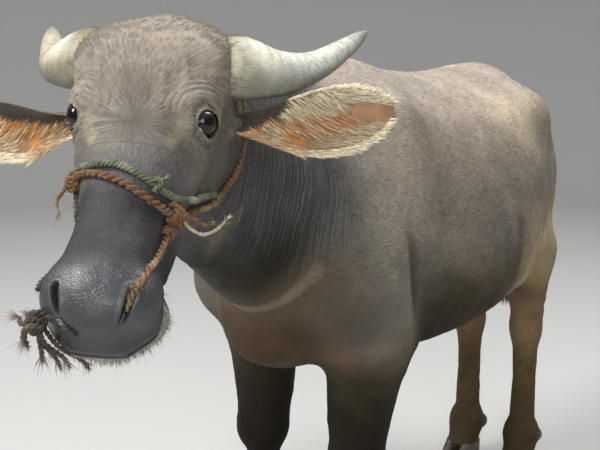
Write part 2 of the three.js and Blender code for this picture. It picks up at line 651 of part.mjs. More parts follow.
const FEET = {
  foreleg_left: [FORELEG_X, FORELEG_Y],
  foreleg_right: [-FORELEG_X, FORELEG_Y],
  hindleg_left: HIND_FEET[1],
  hindleg_right: HIND_FEET[-1],
};
for (const [name, [x, y]] of Object.entries(FEET)) {
  const isFore = name.startsWith("fore");
  const [sole, heel] = isFore ? [y - 42, y + 50] : [y - 18, y + 60];
  for (const [word, side] of Object.entries(SIDES)) {
    const foot = name.replace("leg", "hoof");
    add(`${foot}_claw_${word}`, claw(x, sole, side), HOOF);
    const dewclaw = ball(point(x + side * 24, heel, 112), point(15, 15, 22), 1);
    add(`${name.replace("leg", "dewclaw")}_${word}`, largest(dewclaw.subtract(grown(legs[name], GAP)).simplify(2 * FINE)), HOOF);
  }
}

// Head: the skull's flesh with lids over the eyes, nostrils and the line of the mouth
const LID = 4.5; // thickness of the eyelids
const eyeCentre = (side) => onHead(EYE.n, side * EYE.l, EYE.u);
const eyeAhead = (side) => headDirection(0.3, side * 0.68, 0.67);

function almond(side) {
  const [inner, outer, upper, lower] = [22, 18, 13, 11.5];
  const shape = new THREE.Shape().moveTo(-inner, 0).quadraticCurveTo(0, 2 * upper, outer, 0)
    .quadraticCurveTo(0, -2 * lower, -inner, 0);
  const prism = new THREE.ExtrudeGeometry(shape, { depth: 60, bevelEnabled: false, curveSegments: 6 });
  const ahead = eyeAhead(side);
  const along = headDirection(-0.75, side * 0.6, -0.26).projectOnPlane(ahead).normalize();
  const turn = new THREE.Matrix4().makeBasis(along, point(0, 0, 0).crossVectors(ahead, along), ahead)
    .setPosition(eyeCentre(side));
  return solidOf(mergeVertices(prism.deleteAttribute("normal").deleteAttribute("uv"), 1e-4), turn);
}

function outward(from, direction, lift) {
  let reach = 0;
  const at = (t) => from.clone().addScaledVector(direction, t);
  const field = (t) => flesh(...at(t).toArray()) - lift;
  while (field(reach) < 0) reach += 2;
  let inner = Math.max(reach - 2, 0);
  for (let i = 0; i < 12; i++) {
    const middle = (inner + reach) / 2;
    if (field(middle) < 0) inner = middle;
    else reach = middle;
  }
  return at(reach);
}

function nostril(side) {
  const route = [[438, 45, -22], [450, 42, -26], [462, 37, -37], [474, 29, -51], [482, 19, -63]];
  const places = route.map(([n, l, u]) => outward(onHead(n - 30, side * l * 0.5, u - 25),
    headDirection(30, side * l * 0.5, 25), -3));
  const curve = new THREE.CatmullRomCurve3(places);
  return sweep(curve, (t) => oval(lerp(9.5, 3.5, t), lerp(11, 5, t), 8), 8, () => headDirection(0.5, side * 0.5, 0.7));
}

function mouthLine() {
  const places = [];
  for (let i = -6; i <= 6; i++) {
    const bend = radians(i * 15);
    const corner = Math.max(Math.abs(i) - 4, 0) * 26;
    const from = onHead(438 - corner, 0, -108 - corner * 0.12);
    places.push(outward(from, headDirection(Math.cos(bend), Math.sin(bend), 0), -1.5));
  }
  const curve = new THREE.CatmullRomCurve3(places);
  return sweep(curve, () => oval(6.5, 2.6, 6), 26, () => headDirection(0.1, 0, 1));
}

const headFlesh = solidOf(surfaceOf((n, l, u) => flesh(...onHead(n, l, u).toArray()),
  [-100, -160, -270], [530, 160, 50], 7.5, 2100), HEAD);
let head = headFlesh.intersect(beyond(HEAD_CUT));
for (const side of [1, -1]) {
  head = head.add(ball(eyeCentre(side), point(1, 1, 1).multiplyScalar(EYE.radius + LID), 2));
  head = head.subtract(ball(eyeCentre(side), point(1, 1, 1).multiplyScalar(EYE.radius + 2 * GAP), 2));
  head = head.subtract(almond(side)).subtract(nostril(side));
}
head = largest(head.subtract(mouthLine()).simplify(FINE));
add("head", head, HIDE);
const headAround = grown(head, GAP);
const neckAround = grown(neck, GAP);

for (const [word, side] of Object.entries(SIDES))
  add(`eye_${word}`, ball(eyeCentre(side), point(1, 1, 1).multiplyScalar(EYE.radius), 2), EYE_BLACK);

// Horns: flattened at the root and round at the tip, swept back in the plane of the forehead
const HORN_REACH = { 1: 1, "-1": 0.91 }; // the right horn is a little shorter
const HORN_ROUTE = [[56, 52, -66], [58, 108, -52], [30, 163, -80], [-38, 207, -128], [-124, 248, -172], [-212, 282, -214]];
const hornHalfWidth = profile([0, 0.2, 0.38, 0.56, 0.75, 0.92, 1], [34, 49, 39, 28, 20, 12, 4]);

function horn(side) {
  const reach = HORN_REACH[side];
  const curve = new THREE.CatmullRomCurve3(HORN_ROUTE.map(([n, l, u]) => onHead(n * reach + 3, side * l * reach, u)));
  const section = (t) => oval(hornHalfWidth(t), hornHalfWidth(t) * lerp(0.66, 0.95, t), 10);
  return sweep(curve, section, 11, () => headDirection(0.2, 0, 1));
}

for (const [word, side] of Object.entries(SIDES))
  add(`horn_${word}`, largest(horn(side).subtract(headAround).subtract(neckAround).simplify(FINE)), HORN);

// A flat, tapered lock of hair, bent through its root, middle and tip
function lock(places, width, thickness, up) {
  const taper = (t) => 0.08 + 0.92 * (1 - t) ** 0.7;
  const section = (t) => oval((width / 2) * taper(t), (thickness / 2) * taper(t), 4);
  return sweep(new THREE.CatmullRomCurve3(places), section, 2, () => up);
}

// Ears: a cupped blade with a fringe of long hair inside both edges
const EAR_ROOT = [106, 106, -106];
const EAR_MIDDLE = [80, 232, -152];
const EAR_TIP = [16, 332, -166];
const EAR_DROOP = { 1: -6, "-1": 34 }; // how far the middle hangs below the one drawn, to the tip half as much again
const earHalfWidth = profile([0, 0.15, 0.35, 0.55, 0.75, 0.9, 1], [14, 26, 43, 48, 41, 24, 5]);
const earCurl = profile([0, 0.3, 0.7, 1], [30, 26, 14, 4]);
const earThickness = profile([0, 0.3, 1], [12, 7, 3.5]);
const ACROSS = 4;
const EAR_FACING = { 1: [0.62, 0.1, 0.75], "-1": [0.9, 0.1, 0.42] }; // which way each cup opens

function earPlace(side, t, s, lift) {
  const curve = earCurve(side);
  const up = earUp(side);
  const ahead = curve.getTangent(t);
  const sideways = point(0, 0, 0).crossVectors(ahead, up).normalize();
  const upwards = point(0, 0, 0).crossVectors(sideways, ahead);
  return curve.getPoint(t).addScaledVector(sideways, s * earHalfWidth(t))
    .addScaledVector(upwards, earCurl(t) * s * s + lift);
}

const earCurve = (side) =>
  new THREE.QuadraticBezierCurve3(...[EAR_ROOT, EAR_MIDDLE, EAR_TIP].map(([n, l, u], i) =>
    onHead(n + EAR_DROOP[side] * 0.75 * i, side * l, u)));
const earUp = (side) => headDirection(EAR_FACING[side][0], side * EAR_FACING[side][1], EAR_FACING[side][2]);

function ear(side) {
  const section = (t) => {
    const rim = [];
    for (let i = 0; i <= ACROSS; i++) {
      const s = (2 * i) / ACROSS - 1;
      rim.push([s * earHalfWidth(t), earCurl(t) * s * s - earThickness(t) * (1 - 0.6 * s * s)]);
    }
    for (let i = ACROSS; i >= 0; i--) {
      const s = (2 * i) / ACROSS - 1;
      rim.push([s * earHalfWidth(t) * 0.98, earCurl(t) * s * s + 0.4]);
    }
    return rim;
  };
  let blade = sweep(earCurve(side), section, 9, () => earUp(side));
  for (const edge of [1, -1])
    for (let i = 0; i < 5; i++) {
      const root = 0.15 + 0.145 * i + 0.02 * edge;
      const places = [[0, 0.4, -1.5], [0.09, 0.85, 3], [0.17, 1.14, 2]].map(([t, s, lift]) =>
        earPlace(side, Math.min(root + t, 1), edge * s, lift));
      blade = blade.add(lock(places, 32, 5, earUp(side)));
    }
  return blade;
}

for (const [word, side] of Object.entries(SIDES))
  add(`ear_${word}`, largest(ear(side).simplify(COARSE).subtract(headAround).subtract(neckAround).simplify(FINE)), EAR_HIDE);

// Tail, hanging behind the buttocks, and its switch of long hair
const tailX = (y) => spineX(y);
const TAIL_ROUTE = [[482, 1112], [545, 1098], [578, 1030], [585, 900], [578, 740], [574, 600]];
const tailCurve = new THREE.CatmullRomCurve3(TAIL_ROUTE.map(([y, z]) => point(tailX(y), y, z)));
const tailRadius = profile([0, 0.25, 0.6, 1], [34, 25, 17, 11]);
const tail = sweep(tailCurve, (t) => oval(tailRadius(t), tailRadius(t) * 0.9, 8), 11, () => point(1, 0, 0));
add("tail", largest(tail.subtract(grown(torso, GAP))), HIDE);

// Switch: a slender core with locks hanging round it
function tailSwitch() {
  const top = tailCurve.getPoint(0.985);
  const core = new THREE.LineCurve3(top, top.clone().add(point(0, 6, -130)));
  let hair = sweep(core, (t) => oval(lerp(11, 5, t), lerp(10, 5, t), 8), 3, () => point(1, 0, 0));
  const random = seeded(11);
  for (let i = 0; i < 7; i++) {
    const angle = i * 2.4;
    const out = point(Math.cos(angle), Math.sin(angle), 0);
    const root = core.getPoint(0.1 + 0.11 * i).addScaledVector(out, 2);
    const length = 130 + 40 * random();
    const middle = root.clone().add(point(0, 0, -0.5 * length)).addScaledVector(out, 9 + 8 * random());
    hair = hair.add(lock([root, middle, root.clone().add(point(0, 0, -length)).addScaledVector(out, 5)], 38, 8, out));
  }
  return hair;
}

// A repeatable run of numbers from 0 to 1
function seeded(seed) {
  let state = seed;
  return () => {
    state = (state * 1664525 + 1013904223) % 4294967296;
    return state / 4294967296;
  };
}

add("tail_switch", largest(tailSwitch().simplify(COARSE).subtract(grown(tail, GAP))), SWITCH_HAIR);

// Halter: ropes laid on the skin between two knots, with a stopper knot at the right nostril
const BROWN_ROPE = finish(0x8a4f2d, 0.9);
const GREEN_ROPE = finish(0x5d6549, 0.9);
const DARK_ROPE = finish(0x3b352f, 0.9);

const CLEAR = 0.6; // between a rope and the skin, more than the skin's flat facets need
const skins = [head, neck].map((solid) =>
  new THREE.Mesh(geometryOf(solid), new THREE.MeshBasicMaterial({ side: THREE.DoubleSide })));

// The direction straight out of the skin at a place near it
function outOfSkin({ x, y, z }) {
  const step = 2;
  return point(flesh(x + step, y, z) - flesh(x - step, y, z), flesh(x, y + step, z) - flesh(x, y - step, z),
    flesh(x, y, z + step) - flesh(x, y, z - step)).normalize();
}

// The last place where a line out of the head or neck leaves the skin, lifted by a distance
function onSkin(from, direction, lift) {
  const hit = new THREE.Raycaster(from, direction).intersectObjects(skins).at(-1).point;
  return hit.addScaledVector(outOfSkin(hit), lift);
}

// A route in the head's frame brought on to the skin, seen from an axis at the given depth
function laid(route, radius, axis = -85) {
  const curve = new THREE.CatmullRomCurve3(route.map(([n, l, u]) => point(n, l, u)));
  return curve.getSpacedPoints(Math.round(curve.getLength() / 13)).map(({ x: n, y: l, z: u }) => {
    const from = onHead(n, 0, axis);
    return onSkin(from, onHead(n, l, u).sub(from).normalize(), radius + CLEAR);
  });
}

const seat = ([n, l, u]) => onSkin(onHead(n, 0, -85), headDirection(0, l, u + 85), 0);

function turn(centre, size, tube, facing) {
  const geometry = new THREE.TorusGeometry(size, tube, 5, 8).deleteAttribute("normal").deleteAttribute("uv");
  const rotation = new THREE.Quaternion().setFromUnitVectors(point(0, 0, 1), facing);
  const matrix = new THREE.Matrix4().compose(centre, rotation, point(1, 1, 1));
  return solidOf(mergeVertices(geometry, 1e-4), matrix);
}

const strand = (places, radius) =>
  sweep(new THREE.CatmullRomCurve3(places), (t) => oval(radius * (1 - 0.5 * t), radius * (1 - 0.5 * t), 4), 3,
    () => headDirection(0.3, 0, 1));

function knot(place, out, size, ends) {
  const across = headDirection(0.5, 0.2, -0.6).projectOnPlane(out).normalize();
  const along = point(0, 0, 0).crossVectors(out, across);
  const centre = place.clone().addScaledVector(out, size * 0.4);
  let tied = turn(centre, size, ROPE_RADIUS, across).add(turn(centre, size * 0.9, ROPE_RADIUS, along))
    .add(ball(centre, point(1, 1, 1).multiplyScalar(size), 0));
  for (const end of ends) tied = tied.add(strand([centre, ...end], ROPE_RADIUS * 0.8));
  return tied;
}

const KNOT_LEFT = [299, 63, -62];
const KNOT_RIGHT = [256, -73, -62];
const knots = {
  halter_knot_left: knot(seat(KNOT_LEFT), headDirection(0.2, 0.9, 0.2), 9, [
    [onHead(290, 84, -88), onHead(276, 92, -112)],
    [onHead(300, 88, -84), onHead(302, 94, -112), onHead(288, 98, -132)],
  ]),
  halter_knot_right: knot(seat(KNOT_RIGHT), headDirection(0.1, -0.9, 0.3), 8, [
    [onHead(282, -88, -58), onHead(296, -86, -54)],
  ]),
};

function stopperKnot() {
  const place = seat([440, -62, -50]);
  const out = headDirection(0.1, -0.9, 0.3);
  const ends = [[470, -88, -58], [494, -78, -70], [484, -62, -96]];
  const tied = knot(place, out, 11, ends.map(([n, l, u], i) =>
    [place.clone().lerp(onHead(n, l, u), 0.6).addScaledVector(out, 4 + i), onHead(n, l, u)]));
  return tied;
}

knots.halter_knot_nostril = stopperKnot();

// Each piece of the halter is cut clear of all that was laid before it
const laidBefore = [headAround, neckAround];
function addRope(name, solid, material) {
  const cut = largest(laidBefore.reduce((left, other) => left.subtract(other), solid).simplify(FINE));
  add(name, cut, material);
  laidBefore.push(grown(cut, GAP));
}

for (const [name, solid] of Object.entries(knots))
  addRope(name, solid, name.endsWith("nostril") ? DARK_ROPE : BROWN_ROPE);

function rope(places, radius, steps, from = 0, to = 1) {
  const curve = new THREE.CatmullRomCurve3(places);
  const part = new THREE.CatmullRomCurve3(Array.from({ length: steps + 1 }, (_, i) => curve.getPoint(lerp(from, to, i / steps))));
  const up = (t) => part.getPoint(t).sub(onHead(150, 0, -100)).normalize();
  return sweep(part, () => oval(radius, radius, 6), steps, up);
}

const NOSEBAND = [[256, -70, -52], [272, -48, -28], [281, -28, -14], [289, -8, -9], [297, 12, -10], [307, 33, -17],
  [309, 52, -38], [300, 61, -58]];
const GREEN_BAND = [[252, -64, -46], [267, -36, -15], [269, -6, -9], [280, 24, -13], [288, 48, -32], [274, 68, -62],
  [242, 80, -100], [206, 86, -138]];
const CHEEK_LEFT = [[296, 64, -72], [244, 76, -121], [205, 82, -160], [165, 84, -198], [118, 98, -214]];
const CHEEK_RIGHT = [[118, -100, -200], [165, -92, -168], [212, -84, -118], [250, -75, -70]];
const CROWN_CENTRE = [15, 0, -160];
const crown = Array.from({ length: 18 }, (_, i) => {
  const angle = radians(lerp(-32, 212, i / 17));
  const direction = headDirection(-0.61 * Math.sin(angle), Math.cos(angle), 0.793 * Math.sin(angle));
  return onSkin(onHead(...CROWN_CENTRE), direction, ROPE_RADIUS + CLEAR);
});
const headstall = [...laid(CHEEK_LEFT, ROPE_RADIUS, -130), ...crown, ...laid(CHEEK_RIGHT, ROPE_RADIUS, -130)];
const joints = [0, 0.24, 0.76, 1];
const halves = ["halter_cheek_left", "halter_crown", "halter_cheek_right"];
halves.forEach((name, i) =>
  addRope(name, rope(headstall, ROPE_RADIUS, [9, 16, 9][i], joints[i], joints[i + 1]), BROWN_ROPE));

addRope("halter_noseband", rope(laid(NOSEBAND, ROPE_RADIUS), ROPE_RADIUS, 13), BROWN_ROPE);
addRope("halter_band_green", rope(laid(GREEN_BAND, ROPE_RADIUS), ROPE_RADIUS, 15), GREEN_ROPE);
const NOSE_ROPE_LEFT = [[304, 62, -70], [337, 56, -62], [372, 56, -47], [412, 54, -26], [436, 47, -22], [452, 41, -24]];
addRope("halter_nose_rope_left", rope(laid(NOSE_ROPE_LEFT, 4.5), 4.5, 11), BROWN_ROPE);
const NOSE_ROPE_RIGHT = [[262, -74, -70], [300, -62, -74], [350, -58, -70], [400, -64, -58], [430, -60, -50]];
addRope("halter_nose_rope_right", rope(laid(NOSE_ROPE_RIGHT, 3), 3, 11), DARK_ROPE);

// The origin goes to the middle of the bounding box, on the floor
const bounds = new THREE.Box3().setFromObject(model);
const middle = bounds.getCenter(point(0, 0, 0));
for (const mesh of model.children) mesh.geometry.translate(-middle.x, -middle.y, 0);

export default model;
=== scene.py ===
"""A life-size young swamp buffalo in a rope halter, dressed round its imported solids.

Shapes are worked out in millimetres in the animal's own frame: it faces -Y, its left is +X, and the floor is z = 0.
"""

import math

import bmesh
import bpy
import numpy as np
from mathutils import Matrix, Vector
from mathutils.bvhtree import BVHTree

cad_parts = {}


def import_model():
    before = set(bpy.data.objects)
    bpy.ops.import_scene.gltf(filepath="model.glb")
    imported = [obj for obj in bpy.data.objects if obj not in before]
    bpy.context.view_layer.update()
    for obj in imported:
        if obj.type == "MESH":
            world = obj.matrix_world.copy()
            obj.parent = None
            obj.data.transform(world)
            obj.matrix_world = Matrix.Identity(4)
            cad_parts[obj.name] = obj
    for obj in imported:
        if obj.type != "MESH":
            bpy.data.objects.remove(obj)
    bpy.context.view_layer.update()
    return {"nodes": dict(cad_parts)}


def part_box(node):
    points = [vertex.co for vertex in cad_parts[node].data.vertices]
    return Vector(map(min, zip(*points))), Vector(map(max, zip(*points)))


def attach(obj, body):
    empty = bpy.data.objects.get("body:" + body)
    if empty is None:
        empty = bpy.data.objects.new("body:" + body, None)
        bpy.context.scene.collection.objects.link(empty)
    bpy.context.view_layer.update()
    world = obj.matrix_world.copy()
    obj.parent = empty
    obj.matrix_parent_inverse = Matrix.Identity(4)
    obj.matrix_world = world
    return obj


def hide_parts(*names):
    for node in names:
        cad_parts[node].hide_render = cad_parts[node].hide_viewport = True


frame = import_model()

# Camera: it stands where the photograph was taken, a step ahead of the animal's left shoulder. The outer left fore claw
# ties the animal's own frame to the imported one.
claw_low, claw_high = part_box("forehoof_left_claw_left")
SHIFT = np.array([claw_high.x * 1000 - 192.32, claw_low.y * 1000 + 513.0, 0.0])


def world(places):
    return (np.asarray(places, float) + SHIFT) / 1000


camera = bpy.data.objects.new("Camera", bpy.data.cameras.new("Camera"))
camera.data.sensor_width = 36
camera.data.lens = 54
camera.location = world([1283, -1847, 1190])
camera.rotation_euler = (math.radians(79.6), 0, math.radians(42.4))
bpy.context.scene.collection.objects.link(camera)
bpy.context.scene.camera = camera

bpy.context.scene.view_settings.view_transform = "Standard"

# Forms of the body: fields that are negative inside and near the distance outside, the same as those of the solids.
# Each takes an array of places and gives an array of values.


def turned(x, y, z):
    (cx, sx), (cy, sy), (cz, sz) = ((math.cos(a), math.sin(a)) for a in (x, y, z))
    about_x = np.array([[1, 0, 0], [0, cx, -sx], [0, sx, cx]])
    about_y = np.array([[cy, 0, sy], [0, 1, 0], [-sy, 0, cy]])
    about_z = np.array([[cz, -sz, 0], [sz, cz, 0], [0, 0, 1]])
    return about_x @ about_y @ about_z


POLL = np.array([275, -1032, 1255.0])
HEAD_AXES = (
    turned(0, 0, math.radians(35.3))
    @ turned(math.radians(44.1), 0, 0)
    @ turned(0, math.radians(3.1), 0)
    @ np.array([[0, 1, 0], [-1, 0, 0], [0, 0, 1.0]])
)


def on_head(n, l, u):
    return POLL + HEAD_AXES @ np.array([n, l, u], float)


def in_head(p):
    return (p - POLL) @ HEAD_AXES


def along_head(n, l, u):
    d = HEAD_AXES @ np.array([n, l, u], float)
    return d / np.linalg.norm(d)


def length(v):
    return np.sqrt(np.einsum("ij,ij->i", v, v))


def cone(p, a, b, radius_a, radius_b):
    a, d = np.array(a, float), np.subtract(b, a).astype(float)
    t = np.clip((p - a) @ d / (d @ d), 0, 1)
    return length(p - a - t[:, None] * d) - (radius_a + (radius_b - radius_a) * t)


def column(p, places, radii):
    return np.min([cone(p, *places[i : i + 2], *radii[i : i + 2]) for i in range(len(places) - 1)], axis=0)


def ellipsoid(p, centre, radii, turn=(0, 0, 0)):
    q = (p - np.array(centre, float)) @ turned(*turn) / radii
    reach = length(q)
    slope = np.maximum(length(q / radii), 1e-6)
    return reach * (reach - 1) / slope


def profile(places, values):
    places, values = np.array(places, float), np.array(values, float)
    index = np.arange(len(places))
    before, after = np.maximum(index - 1, 0), np.minimum(index + 1, len(places) - 1)
    slopes = (values[after] - values[before]) / (places[after] - places[before])

    def curve(s):
        q = np.clip(s, places[0], places[-1])
        i = np.clip(np.searchsorted(places, q, side="right") - 1, 0, len(places) - 2)
        span = places[i + 1] - places[i]
        t = (q - places[i]) / span
        t2, t3 = t * t, t * t * t
        return (
            (2 * t3 - 3 * t2 + 1) * values[i]
            + (t3 - 2 * t2 + t) * span * slopes[i]
            + (3 * t2 - 2 * t3) * values[i + 1]
            + (t3 - t2) * span * slopes[i + 1]
        )

    return curve


def loft(stations):
    places = [row[0] for row in stations]
    top, bottom, width, widest, squareness = (profile(places, [row[k] for row in stations]) for k in range(1, 6))

    def field(s, w, h):
        q = np.clip(s, places[0], places[-1])
        low, high, half, power = bottom(q), top(q), width(q), squareness(q)
        middle = low + (high - low) * widest(q)
        rise = h - middle
        tall = np.where(rise > 0, high - middle, middle - low)
        reach = np.maximum(np.abs(w / half) ** power + np.abs(rise / tall) ** power, 1e-9) ** (1 / power)
        across = np.hypot(w, rise) * (1 - 1 / np.maximum(reach, 1e-3))
        beyond = np.abs(s - q)
        return np.where(beyond > 0, np.hypot(np.maximum(across, 0), beyond), across)

    return field


def run_together(first, rest):
    d = first
    for e, softness in rest:
        h = np.maximum(softness - np.abs(d - e), 0) / softness
        d = np.minimum(d, e) - h * h * softness * 0.25
    return d


def near(field, p, centre, radius):
    away = length(p - np.array(centre, float)) - radius
    close = away < 100
    if close.any():
        away[close] = field(p[close])
    return away


TRUNK = loft(
    [
        (-600, 930, 660, 85, 0.45, 2),
        (-540, 1040, 592, 150, 0.45, 2.1),
        (-430, 1174, 550, 200, 0.42, 2.2),
        (-330, 1188, 532, 228, 0.42, 2.1),
        (-180, 1170, 512, 270, 0.42, 2.1),
        (-20, 1162, 524, 298, 0.42, 2.1),
        (120, 1172, 556, 286, 0.43, 2.05),
        (230, 1184, 610, 242, 0.46, 1.95),
        (320, 1178, 654, 200, 0.48, 1.8),
        (400, 1156, 690, 168, 0.48, 1.75),
        (470, 1116, 750, 128, 0.48, 1.75),
        (530, 1050, 820, 95, 0.5, 2),
    ]
)
HIND_FEET = {1: (98, 392), -1: (-74, 375)}
TAIL = [(482, 1112), (545, 1098), (578, 1030), (585, 900), (578, 740), (574, 600)]


def spine_x(y):
    return np.where(y > 0, -2.1e-4 * y * y, 0)


def trunk(p):
    parts = []
    for s in (1, -1):
        parts += [
            (ellipsoid(p, (s * 158, -395, 905), (54, 115, 215), (-0.25, s * 0.12, 0)), 80),
            (ellipsoid(p, (s * 168, -455, 740), (70, 115, 130), (0.5, 0, 0)), 70),
            (ellipsoid(p, (s * 180, -345, 740), (60, 90, 135), (-0.35, 0, 0)), 60),
        ]
    parts.append((ellipsoid(p, (0, -500, 652), (122, 130, 100), (0.3, 0, 0)), 70))
    for s in (1, -1):
        parts += [
            (ellipsoid(p, (s * 160 - 15, 262, 1050), (46, 64, 50)), 80),
            (ellipsoid(p, (s * 118 - 26, 340, 815), (82, 120, 205), (0.12, s * 0.1, 0)), 80),
            (ellipsoid(p, (s * 72 - 46, 440, 920), (58, 60, 150)), 70),
            (cone(p, (s * 192 - 12, 245, 740), (s * 176, 165, 668), 44, 40), 70),
        ]
    return run_together(TRUNK(p[:, 1], p[:, 0] - spine_x(p[:, 1]), p[:, 2]), parts)


NECK = {
    "nape": ([(0, -330, 1095), (35, -590, 1110), (135, -810, 1140), on_head(2, 0, -92)], (82, 72, 66, 66), 60),
    "middle": ([(0, -380, 900), (60, -630, 950), (150, -820, 1015), on_head(70, 0, -130)], (190, 148, 118, 92), 70),
    "throat": ([(20, -470, 745), (90, -670, 830), (185, -860, 920), on_head(125, 0, -168)], (138, 104, 78, 58), 60),
}
SKULL = loft(
    [
        (-20, -62, -120, 80, 0.6, 3),
        (8, -36, -150, 101, 0.68, 3),
        (58, -10, -190, 108, 0.7, 2.9),
        (115, 5, -210, 101, 0.7, 2.5),
        (172, 2, -212, 90, 0.7, 2.5),
        (231, -5, -196, 74, 0.68, 2.4),
        (292, -9, -174, 59, 0.66, 2.3),
        (349, -12, -157, 55, 0.62, 2.3),
        (407, -16, -150, 63, 0.55, 2.4),
        (450, -34, -138, 60, 0.53, 2.3),
        (482, -68, -112, 34, 0.5, 2),
    ]
)
EYE, EYE_RADIUS, LID = np.array([166, 79, -39.0]), 21, 4.5


def skull(p):
    q = in_head(p)
    m = np.stack([q[:, 0], np.abs(q[:, 1]), q[:, 2]], 1)
    return run_together(
        SKULL(q[:, 0], q[:, 1], q[:, 2]),
        [
            (ellipsoid(m, (38, 50, -43), (48, 56, 32)), 30),
            (ellipsoid(m, (150, 73, -41), (48, 27, 38)), 22),
            (ellipsoid(m, (166, 54, -142), (84, 34, 62)), 30),
            (cone(m, (210, 69, -76), (292, 48, -84), 18, 13), 24),
            (cone(m, (122, 42, -186), (336, 28, -146), 27, 21), 24),
            (ellipsoid(m, (60, 92, -50), (44, 25, 40)), 20),
            (ellipsoid(q, (430, 0, -48), (48, 62, 38)), 20),
            (ellipsoid(m, (426, 48, -56), (35, 24, 30)), 14),
            (ellipsoid(q, (443, 0, -88), (40, 62, 31)), 18),
            (ellipsoid(q, (410, 0, -134), (52, 66, 32)), 14),
            (length(m - EYE) - EYE_RADIUS - LID, 7),
            (cone(m, (112, 84, -96), (106, 106, -106), 24, 17), 20),
        ],
    )


def foreleg(s):
    x, y = s * 142, -405
    top, knee, fetlock = (s * 156, y + 8, 615), (x, y - 10, 345), (x, y + 2, 125)
    return lambda p: run_together(
        column(p, [top, (x, y - 4, 430), knee], (92, 69, 58)),
        [
            (cone(p, (s * 170, y - 62, 700), top, 92, 84), 50),
            (ellipsoid(p, (s * 174, y + 82, 640), (46, 54, 62)), 45),
            (ellipsoid(p, (x, y - 14, 340), (55, 57, 60)), 25),
            (column(p, [knee, (x, y - 6, 240), fetlock], (47, 36, 38)), 25),
            (ellipsoid(p, fetlock, (47, 49, 44)), 25),
            (cone(p, fetlock, (x, y - 26, 62), 42, 46), 25),
        ],
    )


def hindleg(s):
    x, y = HIND_FEET[s]
    hock, fetlock = (x, y + 8, 445), (x, y + 10, 128)
    return lambda p: run_together(
        column(p, [(x + s * 24, y - 56, 690), (x + s * 12, y - 16, 545), hock], (78, 52, 37)),
        [
            (ellipsoid(p, (x + s * 52, y - 112, 665), (60, 70, 90)), 60),
            (ellipsoid(p, hock, (37, 43, 58)), 25),
            (ellipsoid(p, (x, y + 44, 484), (20, 26, 35)), 30),
            (cone(p, (x, y + 44, 497), (x + s * 8, y - 2, 700), 20, 40), 40),
            (column(p, [hock, (x, y + 12, 300), fetlock], (37, 33, 37)), 25),
            (ellipsoid(p, fetlock, (46, 49, 44)), 25),
            (cone(p, fetlock, (x, y - 8, 62), 42, 45), 25),
        ],
    )


def tail(p):
    route = [(float(spine_x(np.array(y))), y, z) for y, z in TAIL]
    return column(p, route, (34, 27, 22, 18, 14, 10))


def flesh(p):
    parts = [(column(p, places, radii), softness) for places, radii, softness in NECK.values()]
    parts.append((near(skull, p, on_head(230, 0, -100), 330), 40))
    for s in (1, -1):
        parts.append((near(foreleg(s), p, (s * 142, -405, 400), 430), 50))
    for s in (1, -1):
        parts.append((near(hindleg(s), p, (*HIND_FEET[s], 400), 430), 50))
    parts.append((near(tail, p, (0, 550, 850), 280), 22))
    return np.maximum(run_together(trunk(p), parts), 61 - p[:, 2])


# Skin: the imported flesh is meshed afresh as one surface, finer at the head and finest at the eyes and muzzle, and every
# vertex is brought on to the smooth forms. A short coat leaves it a little inside the solids.

CORNERS = np.array([[1, -1, -1], [-1, -1, 1], [-1, 1, -1], [1, 1, 1.0]])


def slope(field, p, step):
    values = np.stack([field(p + step * corner) for corner in CORNERS], 1)
    return values.mean(1), values @ CORNERS / (4 * step)


def bring_to(field, p, depth, rounds, step=1.5):
    for _ in range(rounds):
        value, gradient = slope(field, p, step)
        size = np.maximum(np.einsum("ij,ij->i", gradient, gradient), 0.2)
        move = np.clip((value + depth) / size, -9, 9)
        p = p - gradient * move[:, None]
    return p, gradient / np.maximum(length(gradient), 1e-6)[:, None]


def coordinates(mesh):
    co = np.empty(len(mesh.vertices) * 3)
    mesh.vertices.foreach_get("co", co)
    return co.reshape(-1, 3)


FLESH_NODES = ["torso", "neck", "head", "tail", "foreleg_left", "foreleg_right", "hindleg_left", "hindleg_right"]
joined = bmesh.new()
for node in FLESH_NODES:
    joined.from_mesh(frame["nodes"][node].data)
rough = bpy.data.meshes.new("rough")
joined.to_mesh(rough)
joined.free()
rough_object = bpy.data.objects.new("rough", rough)
bpy.context.scene.collection.objects.link(rough_object)
remesh = rough_object.modifiers.new("remesh", "REMESH")
remesh.mode = "VOXEL"
remesh.voxel_size = 0.0085
graph = bpy.context.evaluated_depsgraph_get()
skin_mesh = bpy.data.meshes.new_from_object(rough_object.evaluated_get(graph))
bpy.data.objects.remove(rough_object)
skin_mesh.name = "Skin"

# A first pass settles the coarse mesh, with its vertices spread evenly between rounds
bm = bmesh.new()
bm.from_mesh(skin_mesh)
seen, shells = set(), []
for start in bm.verts:
    if start in seen:
        continue
    shell, front = {start}, [start]
    while front:
        v = front.pop()
        for edge in v.link_edges:
            other = edge.other_vert(v)
            if other not in shell:
                shell.add(other)
                front.append(other)
    seen |= shell
    shells.append(shell)
shells.sort(key=len)
bmesh.ops.delete(bm, geom=[v for shell in shells[:-1] for v in shell], context="VERTS")
bm.to_mesh(skin_mesh)


def edges_of(mesh):
    pairs = np.empty(len(mesh.edges) * 2, np.int64)
    mesh.edges.foreach_get("vertices", pairs)
    return pairs.reshape(-1, 2)


def evened(p, pairs, share):
    total, count = np.zeros_like(p), np.zeros(len(p))
    for a, b in ((0, 1), (1, 0)):
        for k in range(3):
            total[:, k] += np.bincount(pairs[:, a], p[pairs[:, b], k], len(p))
        count += np.bincount(pairs[:, a], minlength=len(p))
    return p + share * (total / np.maximum(count, 1)[:, None] - p)


